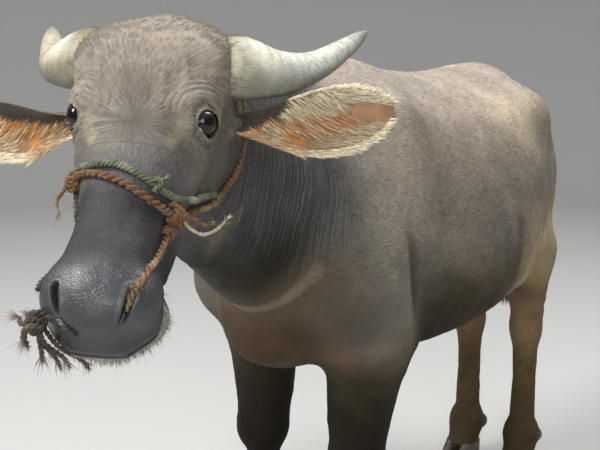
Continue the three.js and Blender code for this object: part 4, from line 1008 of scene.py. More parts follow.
# Coat: short tufts that break the outline on every side, following the lie of the hair, with the skin's own colours.
# Places are drawn evenly over the skin's triangles, then thinned by region.
n = Nodes("Coat", 0.55, Specular_IOR_Level=0.2)
place = n.place()
COAT = n.finish(n.tinted(n.varied(n.noise(place, 400.0, 2.0), 0.85, 1.15)), None, n.noise(place, 1500.0, 1.0), 0.0002)
skin_mesh.calc_loop_triangles()
corners = np.empty(len(skin_mesh.loop_triangles) * 3, np.int32)
skin_mesh.loop_triangles.foreach_get("vertices", corners)
corners = corners.reshape(-1, 3)
cross = np.cross(p[corners[:, 1]] - p[corners[:, 0]], p[corners[:, 2]] - p[corners[:, 0]])
areas = length(cross) / 2


def scattered(density, seed):
    """Roots over the skin, with a density in tufts per square centimetre at each of its vertices"""
    pick = np.random.default_rng(seed)
    weight = areas / 100 * density[corners].mean(1)
    count = int(weight.sum())
    chosen = pick.choice(len(corners), count, p=weight / weight.sum())
    share = pick.random((count, 3)) ** 0.7
    share /= share.sum(1, keepdims=True)
    at = corners[chosen]
    return lambda values: np.einsum("ij,ij->i" if values.ndim == 1 else "ij,ijk->ik", share, values[at])


face_normal = np.zeros_like(p)
for k in range(3):
    for axis in range(3):
        face_normal[:, axis] += np.bincount(corners[:, k], cross[:, axis], len(p))
face_normal = unit(face_normal)

# The direction in which the hair lies
lie = np.tile([0.0, 1.0, -0.25], (len(p), 1))
lie[:, 2] -= 1.2 * down_leg
lie[:, 1] *= 1 - 0.8 * down_leg
lie[:, 2] -= 0.5 * smooth(1000, 700, z)
belly_run = smooth(620, 540, z) * (1 - down_leg)
neck_lie = np.array([-0.25, 0.75, -0.6])
lie = lie + (neck_lie - lie) * at_neck[:, None]
on_top = unit(from_whorl) @ HEAD_AXES.T
toward_nose = np.tile(HEAD_AXES @ np.array([1.0, 0, -0.25]), (len(p), 1))
back_cheek = np.tile(HEAD_AXES @ np.array([-0.9, 0, -0.45]), (len(p), 1))
head_lie = on_top + (toward_nose - on_top) * smooth(205, 240, q[:, 0])[:, None]
head_lie = head_lie + (back_cheek - head_lie) * (smooth(-50, -90, q[:, 2]) * smooth(330, 240, q[:, 0]))[:, None]
lie = lie + (head_lie - lie) * (head_share > 0.5)[:, None]
lie = unit(lie - face_normal * np.einsum("ij,ij->i", lie, face_normal)[:, None])

body_map = np.stack([np.arctan2(x - spine_x(y), z - 820) / (2 * math.pi) + 0.5, (y + 1300) / 2000], 1)
face_map = np.stack([np.arctan2(q[:, 1], q[:, 2] + 95) / (2 * math.pi) + 0.5, (q[:, 0] + 60) / 600], 1)
round_leg = np.arctan2(np.abs(x) - 142, y - leg_y) / (4 * math.pi)
leg_map = np.stack([round_leg + np.where(x > 0, 0.25, 0.75), z / 800 * 0.5 + np.where(y < 0, 0, 0.5)], 1)
clear_of_eye = smooth(29, 33, eye_reach)


def coat(name, density, seed, size, width, lift, spread, shade, tip, layout, segments, clumped=0.1):
    take = scattered(density * clear_of_eye, seed)
    pick = np.random.default_rng(seed + 1)
    root, normals, way, colour = take(p), unit(take(face_normal)), take(lie), take(tint)
    count = len(root)
    way = unit(way + spread * (pick.random((count, 3)) - 0.5))
    way = unit(way - normals * np.einsum("ij,ij->i", way, normals)[:, None])
    along = way + normals * (lift * (0.6 + 0.8 * pick.random(count)))[:, None]
    clumps = grain(take(comb), (7, 5, 7), seed)
    colour = colour * ((shade[0] + (shade[1] - shade[0]) * pick.random(count)) * (1 + clumped * clumps))[:, None]
    reach = take(size) if isinstance(size, np.ndarray) else size
    made = Tufts(segments)
    long = reach * (0.7 + 0.6 * pick.random(count))
    wide = width * (0.7 + 0.6 * pick.random(count))
    bend = -normals * (0.55 * lift)
    tips = np.clip(colour * tip, 0, 1)
    made.add(root - normals * 0.6, along, normals, long, wide, bend, colour * 0.95, tips, take(layout))
    made.make(name, COAT, "hair")


poll = smooth(150, 40, q[:, 0]) * smooth(-120, -40, q[:, 2]) * (head_share > 0.5)
forehead = smooth(225, 170, q[:, 0]) * smooth(-95, -35, q[:, 2]) * (head_share > 0.5) * smooth(44, 66, eye_reach)
cheek = (head_share > 0.5) * smooth(330, 250, q[:, 0]) * smooth(-10, -60, q[:, 2])
coat("Coat.poll", 16 * poll + 14 * forehead, 31, 11 + 4 * poll, 0.8, 0.05, 0.14, (0.80, 1.18), 1.12, face_map, 3, 0.08)
on_nose = 3.0 * (head_share > 0.5) * smooth(400, 330, q[:, 0])
coat("Coat.face", 9.0 * cheek + on_nose, 41, 7.0, 0.9, 0.12, 0.4, (0.85, 1.15), 1.1, face_map, 2)

ridge_line = smooth(0.75, 0.95, face_normal[:, 2]) * smooth(950, 1050, z)
off_head = 1.0 * (head_share <= 0.5)
legs_share = smooth(640, 560, z) * off_head
body_density = 0.32 + 0.9 * ridge_line + 0.5 * smooth(1.2, 0.6, brisket) + 0.5 * belly_run
body_density = off_head * body_density * (1 - legs_share)
coat("Coat.body", body_density * (1 - 0.75 * at_neck), 51, 15.0, 1.3, 0.09, 0.4, (0.9, 1.14), 1.1, body_map, 2)
neck_top = at_neck * smooth(0.3, 0.8, face_normal[:, 2])
neck_density = off_head * at_neck * (0.5 + 2.0 * neck_top)
coat("Coat.neck", neck_density, 61, 13 + 7 * neck_top, 1.2, 0.11, 0.4, (0.85, 1.2), 1.15, body_map, 2)
legs_density = legs_share * (0.9 - 0.3 * smooth(300, 100, z))
coat("Coat.legs", legs_density, 71, 11.0, 1.3, 0.09, 0.4, (0.88, 1.15), 1.1, leg_map, 2)


# Eyes: dark wet balls with a level pupil, a faint brown iris and a grey reflection painted over their upper part,
# set behind the lids. The cornea bulges a little from the ball.
def spherical(rows, columns):
    polar = np.linspace(0, math.pi, rows)[1:-1]
    turn = np.linspace(0, 2 * math.pi, columns, endpoint=False)
    return np.meshgrid(polar, turn, indexing="ij")


n = Nodes("Eye", 0.05, Specular_IOR_Level=0.4)
EYE_FINISH = n.finish(n.tinted(n.varied(n.noise(n.place(), 900.0, 3.0), 0.75, 1.25)))
for word, s in (("left", 1), ("right", -1)):
    centre, along, across, ahead = eye_frame(s)
    a, b = spherical(56, 72)
    bulge = EYE_RADIUS + 1.3 * smooth(0.75, 0.35, a)
    local = np.stack([np.sin(a) * np.cos(b), np.sin(a) * np.sin(b), np.cos(a)], -1)
    places = centre + bulge[..., None] * (local @ np.stack([along, across, ahead]))
    flat = local.reshape(-1, 3)
    iris = np.hypot(flat[:, 0], flat[:, 1])
    pupil = np.hypot(flat[:, 0] / 0.42, flat[:, 1] / 0.24)
    colour = painted(
        np.tile(rgb("1c1512"), (len(flat), 1)),
        ("0d0908", smooth(0.35, 0.62, iris)),
        ("2c2420", smooth(0.74, 0.84, iris)),
        ("050506", smooth(1.12, 0.95, pupil)),
        # Painted reflection: the upper part of the ball is greyer
        ("38373a", smooth(0.05, 0.5, flat[:, 1]) * 0.8),
    )
    piece(f"Eye.{word}", places.reshape(-1, 3), tube_faces(*a.shape), EYE_FINISH, "eye", [f"eye_{word}"], colour)

# Lashes: short dark hairs that stand out along the upper lids and turn down at their tips
lashes = Tufts(3)
for s in (1, -1):
    centre, along, across, ahead = eye_frame(s)
    a = np.linspace(-17, 14, 34)
    b = 13 * (1 - ((a + 2) / 20) ** 2) + 0.6
    c = np.sqrt(np.maximum(25.5**2 - a * a - b * b, 1))
    root = centre + a[:, None] * along + b[:, None] * across + c[:, None] * ahead
    way = ahead * 0.9 + np.outer(a / 30, along) + across * 0.35
    colour = np.tile(rgb("1c1815"), (len(a), 1))
    bend = across * 0.05 - np.array([0, 0, 0.35])
    where = np.stack([(a + 20) / 80 + (0 if s > 0 else 0.5), np.full(len(a), 0.5)], 1)
    lashes.add(root, way, np.tile(across, (len(a), 1)), 9 + 2 * np.sin(a), 0.7, bend, colour, colour, where)
lashes.make("Lashes", COAT, "hair")

# Horns: hollow sheaths that grow outwards and back in one sweep, flattened at the root. Growth rings stand closest at
# the root, stains lie in them, and the outer third is smooth and darker. Light is painted on their tops, with a painted
# highlight band, and shade on their undersides.
HORN_REACH = {1: 1, -1: 0.91}
HORN_ROUTE = [[46, 52, -63], [48, 108, -50], [26, 163, -79], [-38, 207, -128], [-124, 248, -172], [-212, 282, -214]]
horn_half_width = profile([0, 0.2, 0.38, 0.56, 0.75, 0.92, 1], [34, 49, 39, 28, 20, 12, 4])
n = Nodes("Horn", 0.42)
place = n.place()
fibres = n.noise(n.read("Comb", "Vector"), 0.55, 3.0)
stains = n.noise(place, 26.0, 4.0)
tone = n.times(n.varied(fibres, 0.86, 1.12), n.varied(stains, 0.8, 1.14))
height = n.plus(fibres, n.noise(place, 350.0, 2.0))
HORN_FINISH = n.finish(n.tinted(tone), n.varied(stains, 0.36, 0.56), height, 0.0006)
HORN_STEPS = 260
for word, s in (("left", 1), ("right", -1)):
    reach = HORN_REACH[s]
    t = np.linspace(0, 1, HORN_STEPS)
    path = curve([on_head(forth * reach + 3, s * left * reach, up) for forth, left, up in HORN_ROUTE], t)
    ahead = unit(np.gradient(path, axis=0))
    sideways = unit(np.cross(ahead, along_head(0.2, 0, 1)))
    upwards = np.cross(sideways, ahead)
    turn = np.linspace(0, 2 * math.pi, 72, endpoint=False)
    ring_phase = (t[:, None] ** 0.85 * 34) + 0.35 * np.sin(turn * 2 + 1)
    uneven = grain(np.stack([t * 40, 0 * t, 0 * t + s], 1), 1.0, 5)[:, None]
    growth = 1.15 * (1 - t[:, None]) ** 1.3 * (np.abs(np.sin(ring_phase * math.pi / 1.6)) ** 0.7 - 0.6)
    growth = growth + 0.7 * uneven * (1 - t[:, None])
    wide = horn_half_width(t)[:, None] + growth - 0.4
    tall = wide * np.interp(t, [0, 1], [0.66, 0.95])[:, None] * np.sin(turn)
    # A low keel runs along the front edge
    tall = tall * (1 - 0.12 * np.cos(turn) ** 4)
    places = path[:, None] + (wide * np.cos(turn))[..., None] * sideways[:, None] + tall[..., None] * upwards[:, None]
    flat = places.reshape(-1, 3)
    share = np.repeat(t, len(turn))
    out_z = (np.cos(turn) * sideways[:, 2:] + np.sin(turn) * upwards[:, 2:]).ravel()
    base, light, root_tone = ("a3a39a", "c6c4b6", "9b967c") if s > 0 else ("8f8976", "bdb298", "857c62")
    colour = painted(
        np.tile(rgb(base), (len(flat), 1)),
        # Painted top light on the upper side past the root
        (light, smooth(0.15, 0.4, share) * smooth(-0.2, 0.6, out_z)),
        (root_tone, smooth(0.34, 0.18, share) * 0.85),
        # Painted highlight: a pale band along the upper side, a third of the way out
        ("d8d1ba", smooth(0.08, 0.02, np.abs(share - 0.31)) * smooth(0.0, 0.6, out_z) * 0.8),
        # Painted shade on the underside
        ("6f6d5e", smooth(0.25, -0.6, out_z) * 0.85),
        ("3f392d", smooth(0.27, 0.17, share) * smooth(0.0, 0.5, grain(flat, (14, 14, 8), 24)) * 0.8),
        ("5a5a58", smooth(0.70, 1.0, share) * 0.7),
        ("5d656a", smooth(0.0, 0.5, grain(flat, 5, 22)) * smooth(0.3, 0.6, share) * 0.45),
    )
    in_rings = np.repeat(np.clip(growth.mean(1), -1, 1), len(turn))
    colour *= (1 + 0.10 * in_rings + 0.06 * grain(flat, 14, 23))[:, None]
    fibre_run = np.stack([np.tile(turn * 30, len(t)), np.repeat(t * 60, len(turn)), 0 * share], 1)
    comb_horn = {"Comb": ("FLOAT_VECTOR", fibre_run)}
    faces = tube_faces(len(t), len(turn))
    piece(f"Horn.{word}", flat, faces, HORN_FINISH, "horn", [f"horn_{word}"], colour, None, comb_horn)
    # Short hair stands round the root, where the skin ends
    pick = np.random.default_rng(81 + s)
    count = 300
    a, at = 2 * math.pi * pick.random(count), 0.165 + 0.045 * pick.random(count) ** 2
    k = (at * (HORN_STEPS - 1)).astype(int)
    wide = horn_half_width(at)
    root = path[k] + (wide * np.cos(a))[:, None] * sideways[k] + (wide * 0.69 * np.sin(a))[:, None] * upwards[k]
    out = unit(root - path[k])
    hidden = skull(root) < -3
    root, out, k, a = root[~hidden], out[~hidden], k[~hidden], a[~hidden]
    fringe = Tufts(3)
    count = len(root)
    colour = np.where(pick.random(count)[:, None] < 0.4, rgb("857c70"), rgb("736b60"))
    colour = colour * (0.8 + 0.4 * pick.random(count))[:, None]
    way = ahead[k] + out * 0.35 + 0.5 * (pick.random((count, 3)) - 0.5)
    where = np.stack([a / (2 * math.pi), np.clip(k / (HORN_STEPS - 1) * 3, 0, 1)], 1)
    fringe.add(root, way, out, 7 + 6 * pick.random(count), 1.1, -out * 0.25, colour, colour * 1.2, where)
    fringe.make(f"Coat.horn_{word}", COAT, "hair")

# Hooves: two claws a foot with rings of growth and a worn edge, and two dewclaws behind each pastern
n = Nodes("Hoof", 0.5)
place = n.place()
down = n.node("ShaderNodeMapping", None, Vector=place, Scale=(1.0, 1.0, 0.12)).outputs[0]
streaks = n.noise(down, 260.0, 3.0)
mud = n.noise(place, 45.0, 4.0)
MUD = (0.115, 0.095, 0.07, 1)
colour = n.blend(n.ramp(mud, 0.48, 0.66), n.tinted(n.varied(streaks, 0.7, 1.35)), MUD)
HOOF_FINISH = n.finish(colour, n.ramp(mud, 0.4, 0.7, 0.38, 0.75), n.plus(streaks, n.times(mud, 1.5)), 0.0007)
claw_scale = profile([0, 14, 42, 66, 74], [1, 0.98, 0.88, 0.76, 0.70])
claw_back = profile([0, 14, 42, 66, 74], [0, 2, 10, 18, 20])
FEET = {
    "forehoof_left": (142, -405),
    "forehoof_right": (-142, -405),
    "hindhoof_left": HIND_FEET[1],
    "hindhoof_right": HIND_FEET[-1],
}
for foot, (foot_x, foot_y) in FEET.items():
    is_fore = foot.startswith("fore")
    sole, heel = (foot_y - 42, foot_y + 50) if is_fore else (foot_y - 18, foot_y + 60)
    for word, s in (("left", 1), ("right", -1)):
        levels = np.r_[0, 0.8, 2, np.linspace(4, 70, 45)]
        a = np.linspace(0, 2 * math.pi, 72, endpoint=False)
        level, turn = np.meshgrid(levels, a, indexing="ij")
        scale = claw_scale(level) - np.interp(level, [0, 0.8, 2, 4], [0.03, 0.012, 0.004, 0])
        scale = scale + 0.008 * np.sin(level * 2 * math.pi / 7.5 + np.sin(turn)) * smooth(3, 9, level) - 0.006
        toe = np.where(np.cos(turn) > 0, 66, 44)
        wide = 20 + 7 * smooth(-0.45, 0.45, np.sin(turn))
        ahead_y = toe * scale * np.sign(np.cos(turn)) * np.abs(np.cos(turn)) ** 0.85
        across_x = foot_x + s * (24 + wide * scale * np.sin(turn))
        places = np.stack([across_x, sole + claw_back(level) - ahead_y, level], -1)
        faces = tube_faces(len(levels), len(a))
        if s > 0:
            faces = [f[::-1] for f in faces]
        flat = places.reshape(-1, 3)
        colour = mix(np.tile(rgb("312c27"), (len(flat), 1)), rgb("4d453a"), smooth(40, 68, flat[:, 2]))
        colour = mix(colour, rgb("6a5f4e"), smooth(6, 0, flat[:, 2]) * 0.6)
        piece(f"Hoof.{foot}_{word}", flat, faces, HOOF_FINISH, "hoof", [f"{foot}_claw_{word}"], colour)
        a, b = spherical(24, 32)
        local = np.stack([np.sin(a) * np.cos(b), np.sin(a) * np.sin(b), -np.cos(a)], -1) * [14.6, 14.6, 21.6]
        local[..., 0] *= 1 - 0.25 * smooth(0, -20, local[..., 2])
        local = local * (1 + 0.012 * np.sin(local[..., 2:3] * 1.1))
        places = (local + [foot_x + s * 24, heel, 112]).reshape(-1, 3)
        colour = np.tile(rgb("38322c"), (len(places), 1))
        node = f"{foot.replace('hoof', 'dewclaw')}_{word}"
        piece(f"Dewclaw.{foot}_{word}", places, tube_faces(*a.shape), HOOF_FINISH, "hoof", [node], colour)


# Ears: thin cupped blades of gristle and skin that stand out below the horns, the right one drooping. Long pale hair
# is combed across each cup from both edges, orange in its middle, and short dark hair covers the back.
EAR_POINTS = ([106, 106, -106], [80, 232, -152], [16, 332, -166])
EAR_DROOP = {1: -6, -1: 34}
EAR_FACING = {1: (0.62, 0.1, 0.75), -1: (0.9, 0.1, 0.42)}
ear_half_width = profile([0, 0.15, 0.35, 0.55, 0.75, 0.9, 1], [14, 26, 43, 48, 41, 24, 5])
ear_curl = profile([0, 0.3, 0.7, 1], [30, 26, 14, 4])
ear_thickness = profile([0, 0.3, 1], [12, 7, 3.5])
n = Nodes("Ear", 0.6, Subsurface_Weight=0.12, Subsurface_Scale=0.004)
n.shader.inputs["Subsurface Radius"].default_value = (1.0, 0.4, 0.25)
veins = n.noise(n.place(), 60.0, 4.0)
down_hairs = n.noise(n.read("Comb", "Vector"), 0.6, 2.0)
tone = n.times(n.varied(veins, 0.8, 1.2), n.varied(down_hairs, 0.8, 1.2))
EAR_FINISH = n.finish(n.tinted(tone), None, n.plus(veins, down_hairs), 0.0009)
EAR_COLUMNS = 32


def ear_frame(s, t):
    a, b, c = (on_head(forth + EAR_DROOP[s] * 0.75 * i, s * left, up) for i, (forth, left, up) in enumerate(EAR_POINTS))
    t = np.asarray(t, float)[..., None]
    centre = (1 - t) ** 2 * a + 2 * t * (1 - t) * b + t * t * c
    ahead = unit((1 - t) * (b - a) + t * (c - b))
    up = along_head(EAR_FACING[s][0], s * EAR_FACING[s][1], EAR_FACING[s][2])
    sideways = unit(np.cross(ahead, up))
    return centre, ahead, sideways, np.cross(sideways, ahead)


def ear_place(s, t, across, lift):
    t, across = np.asarray(t, float), np.asarray(across, float)
    centre, ahead, sideways, upwards = ear_frame(s, t)
    raised = ear_curl(t) * across**2 + lift
    return centre + (across * ear_half_width(t))[..., None] * sideways + raised[..., None] * upwards


def ear_upper(s):
    """Which edge of the ear is the upper one"""
    return 1 if ear_frame(s, np.array([0.5]))[2][0, 2] > 0 else -1


ear_margin = {
    1: profile([0, 0.1, 0.2, 0.3], [-0.8, 0.0, 0.6, 1.3]),
    -1: profile([0, 0.5, 0.9, 1], [0.1, 0.4, 0.8, 1.2]),
}
for word, s in (("left", 1), ("right", -1)):
    t = np.linspace(0, 1, 90)
    front, back = np.linspace(-1, 1, EAR_COLUMNS), np.linspace(1, -1, EAR_COLUMNS)
    a, b = np.meshgrid(t, front, indexing="ij")
    inner = ear_place(s, a, b * 0.985, 0.2 + 0.5 * np.sin(b * 9) * np.sin(a * 3))
    a, b = np.meshgrid(t, back, indexing="ij")
    outer_side = ear_place(s, a, b, -ear_thickness(a) * (1 - 0.72 * b**2))
    places = np.concatenate([inner, outer_side], 1)
    flat = places.reshape(-1, 3)
    share = np.repeat(t, 2 * EAR_COLUMNS)
    position = np.tile(np.r_[front, back], len(t))
    is_inner = np.tile(np.r_[np.ones(EAR_COLUMNS), np.zeros(EAR_COLUMNS)], len(t))
    colour = painted(np.tile(rgb("57534b"), (len(flat), 1)), ("8f8573", smooth(0.6, 1, np.abs(position)) * 0.6))
    # The folded upper margin is dark near the root, and the cup is orange at its middle and low near the root
    risen = position * ear_upper(s)
    inside = painted(
        np.tile(rgb("a07c5a"), (len(flat), 1)),
        ("d98a55", smooth(0.17, 0.06, np.abs(share - 0.55)) * smooth(-0.3, 0.1, risen)),
        ("c98446", smooth(0.14, 0.06, np.abs(share - 0.28)) * smooth(0.1, -0.2, risen)),
        ("a8805f", smooth(0.2, 0.08, np.abs(share - 0.80)) * smooth(0.9, 0.4, np.abs(position + 0.15))),
        ("5c4a4c", smooth(0.10, 0.04, np.abs(share - 0.40)) * smooth(0.5, 0.2, np.abs(position)) * 0.7),
        ("4a3d36", smooth(0.2, 0.0, share)),
        ("4f4a44", smooth(-0.1, 0.15, risen - ear_margin[s](share))),
    )
    colour = colour + (inside - colour) * is_inner[:, None]
    colour *= (1 + 0.12 * grain(flat, 12, 31))[:, None]
    comb_ear = {"Comb": ("FLOAT_VECTOR", np.stack([share * 200 + position * 20, position * 12, is_inner * 50], 1))}
    faces = tube_faces(len(t), 2 * EAR_COLUMNS)
    piece(f"Ear.{word}", flat, faces, EAR_FINISH, "ear_hide", [f"ear_{word}"], colour, None, comb_ear)

    upper = ear_upper(s)
    pick = np.random.default_rng(91 + s)
    hair = Tufts(4)

    def strands(count, t_low, t_high, s_low, s_high, size, width, toward, lift, colours, tips, spread=0.35, drop=0.0):
        """Hair rooted between two shares of the ear's length and of its half width, combed one way"""
        at = t_low + (t_high - t_low) * pick.random(count)
        side_at = upper * (s_low + (s_high - s_low) * pick.random(count))
        root = ear_place(s, at, side_at, 0.6)
        _, ahead, sideways, upwards = ear_frame(s, at)
        lean = 2 * ear_curl(at) * side_at / ear_half_width(at)
        normals = unit(upwards - sideways * lean[:, None])
        way = ahead * toward[0] + upper * sideways * toward[1]
        way = way - normals * np.einsum("ij,ij->i", way, normals)[:, None]
        way = unit(way) + spread * (pick.random((count, 3)) - 0.5) + normals * lift
        which = pick.integers(0, len(colours), count)
        shade = (0.8 + 0.4 * pick.random(count))[:, None]
        base = np.array([rgb(c) for c in colours])[which] * shade
        end = np.array([rgb(c) for c in tips])[which] * shade
        folded_back = upper * side_at > ear_margin[s](at) + 0.08 * (pick.random(count) - 0.5)
        base[folded_back], end[folded_back] = rgb("4f4b45"), rgb("6d675d")
        long = np.where(folded_back, 0.5, 1.0) * size * (0.65 + 0.6 * pick.random(count))
        long = long * np.interp(at, [0, 0.15, 0.8, 1], [0.7, 1, 1, 0.7])
        wide = width * (0.7 + 0.6 * pick.random(count))
        bend = -normals * lift * 0.45 + np.array([0, 0, -1.0]) * drop
        where = np.stack([0.03 + 0.94 * at, 0.5 + 0.47 * side_at], 1)
        hair.add(root, way, normals, long, wide, bend, base, end, where)

    straw, cream, orange, brown = "eedbb4", "fff5dd", "dc9656", "84684c"
    bone, fawn, earth = "e8dabb", "d59a5e", "8a7a5e"
    # From the upper edge down across the cup
    mixed, ends = [straw, cream, straw, brown], [cream, bone, cream, straw]
    strands(800, 0.16, 0.62, 0.6, 1.0, 36, 1.5, (0.75, -0.75), 0.22, mixed, ends)
    strands(520, 0.55, 0.97, 0.62, 1.0, 27, 1.3, (0.95, -0.25), 0.12, [straw, cream, earth], [cream, cream, straw])
    # Orange in the middle and at the root
    mixed, ends = [orange, "b06f35", orange, straw], [fawn, "cf8d50", straw, cream]
    strands(620, 0.28, 0.62, -0.1, 0.62, 34, 1.3, (0.80, -0.55), 0.30, mixed, ends)
    strands(340, 0.02, 0.26, -0.5, 0.6, 34, 1.3, (0.7, -0.75), 0.30, [orange, straw, brown], [fawn, cream, straw])
    # Along the lower edge, and longer near its root
    mixed, ends = [straw, cream, cream, "93846a"], [cream, bone, cream, straw]
    strands(760, 0.18, 0.95, -1.0, -0.78, 15, 1.3, (0.9, -0.3), 0.14, mixed, ends, 0.35, 0.1)
    mixed, ends = [straw, orange, brown], [cream, fawn, straw]
    strands(420, 0.0, 0.30, -1.0, -0.55, 30, 1.4, (0.7, -0.6), 0.2, mixed, ends, 0.4, 0.15)
    # Thin in the lower cup, and a rim that stands past the upper edge
    strands(420, 0.45, 0.85, -0.7, -0.2, 18, 1.1, (0.9, -0.35), 0.2, ["b59a74", "a98a6a"], [cream, straw])
    strands(420, 0.1, 0.98, 0.96, 1.0, 16, 1.3, (0.8, 0.45), 0.05, [straw, cream, earth], [cream, cream, straw])
    hair.make(f"EarHair.{word}", COAT, "hair")
    # Short dark hair on the back of the ear
    behind = Tufts(2)
    count = 1500
    at, side_at = 0.03 + 0.95 * pick.random(count), 2 * pick.random(count) - 1
    root = ear_place(s, at, side_at, -ear_thickness(at) * (1 - 0.72 * side_at**2) + 0.3)
    _, ahead, sideways, upwards = ear_frame(s, at)
    lean = 2 * ear_curl(at) * side_at / ear_half_width(at)
    normals = -unit(upwards - sideways * lean[:, None])
    colour = np.array([rgb(c) for c in ("57534b", "6d675a", "857a66")])[pick.integers(0, 3, count)]
    way = ahead + normals * 0.15 + 0.25 * (pick.random((count, 3)) - 0.5)
    long = 11 + 5 * pick.random(count)
    where = np.stack([0.03 + 0.94 * at, 0.5 + 0.47 * side_at], 1)
    behind.add(root, way, normals, long, 1.4, -normals * 0.08, colour * 0.9, colour * 1.2, where)
    behind.make(f"Coat.ear_{word}", COAT, "hair")

# Switch: long coarse hair that grows from the end of the tail. It hangs straight down, spreads a little and ends in
# a point.
route = [(float(spine_x(np.array(ty))), ty, tz) for ty, tz in TAIL]
top = curve(route, [0.985])[0]
pick = np.random.default_rng(101)
count = 620
turn, down = 2 * math.pi * pick.random(count), pick.random(count) ** 1.2
out = np.stack([np.cos(turn), np.sin(turn), 0 * turn], 1)
root = top + np.stack([0 * down, 6 * down * 0.8, -100 * down + 30], 1) + out * (9.5 - 4 * down)[:, None]
long = (125 + 45 * pick.random(count)) * (1 - 0.35 * down)
colour = np.array([rgb(c) for c in ("35302a", "463f36", "5c5345")])[pick.integers(0, 3, count)]
switch = Tufts(6)
way = np.array([0, 0, -1.0]) + out * (0.10 + 0.10 * pick.random(count))[:, None]
bend = -out * 0.09 + 0.05 * (pick.random((count, 3)) - 0.5)
where = np.stack([turn / (2 * math.pi), down], 1)
switch.add(root, way, out, long, 3.2, bend, colour, colour * 1.25, where, 0.85)
switch.make("TailSwitch", COAT, "hair", ["tail_switch"])

# Hair of the lips and chin: a short pale fringe grows along the lower lip, and stiff thin bristles stand singly round
# the mouth and chin.
on_lips = (head_share > 0.5) * smooth(392, 410, q[:, 0]) * smooth(-3, -8, mouth_height)
take = scattered(on_lips * smooth(-150, -128, q[:, 2]) * 10, 111)
pick = np.random.default_rng(112)
root, normals = take(p), unit(take(face_normal))
count = len(root)
colour = np.array([rgb(c) for c in ("aaa59a", "837d73", "c9c4ba")])[pick.integers(0, 3, count)]
lips = Tufts(3)
way = normals * 0.9 + HEAD_AXES @ np.array([0.3, 0, -0.8]) + 0.7 * (pick.random((count, 3)) - 0.5)
bend = HEAD_AXES @ np.array([0, 0, -0.2])
lips.add(root, way, normals, 4 + 5 * pick.random(count), 0.8, bend, colour * 0.8, colour, take(face_map))
take = scattered((head_share > 0.5) * smooth(392, 420, q[:, 0]) * smooth(-40, -70, q[:, 2]) * 0.55, 113)
root, normals = take(p), unit(take(face_normal))
count = len(root)
colour = np.tile(rgb("57524c"), (count, 1))
way = normals + 0.6 * (pick.random((count, 3)) - 0.5)
bend = np.array([0, 0, -0.25])
lips.add(root, way, normals, 8 + 9 * pick.random(count), 0.45, bend, colour, colour * 1.5, take(face_map))
lips.make("Coat.lips", COAT, "hair")


# Halter: ropes of worn brown, green and dark fibre, each twisted from two or three strands and bristling with stray
# fibres. They lie on the skin along the solids' own routes, and knots hold them to each other.
near_head = length(p - on_head(230, 0, -100)) < 480
index = np.flatnonzero(near_head)
renumber = np.full(len(p), -1)
renumber[index] = np.arange(len(index))
kept = near_head[corners].all(1)
tree = BVHTree.FromPolygons(p[index].tolist(), renumber[corners[kept]].tolist())


def outside(place, lift):
    """A place brought to a height over the skin"""
    spot, facing, _, _ = tree.find_nearest(Vector(place))
    return np.array(spot) + np.array(facing) * lift


def seat(forth, left, up, lift=0.0, axis=-85):
    start = on_head(forth, 0, axis)
    way = unit(on_head(forth, left, up) - start)
    hit = tree.ray_cast(Vector(start + way * 320), Vector(-way))[0]
    return outside(np.array(hit), lift)


def laid(route, lift, axis=-85):
    places = np.array([seat(*at, lift, axis) for at in spaced(route, 5)])
    for _ in range(3):
        places[1:-1] = places[1:-1] * 0.5 + (places[:-2] + places[2:]) * 0.25
    return places


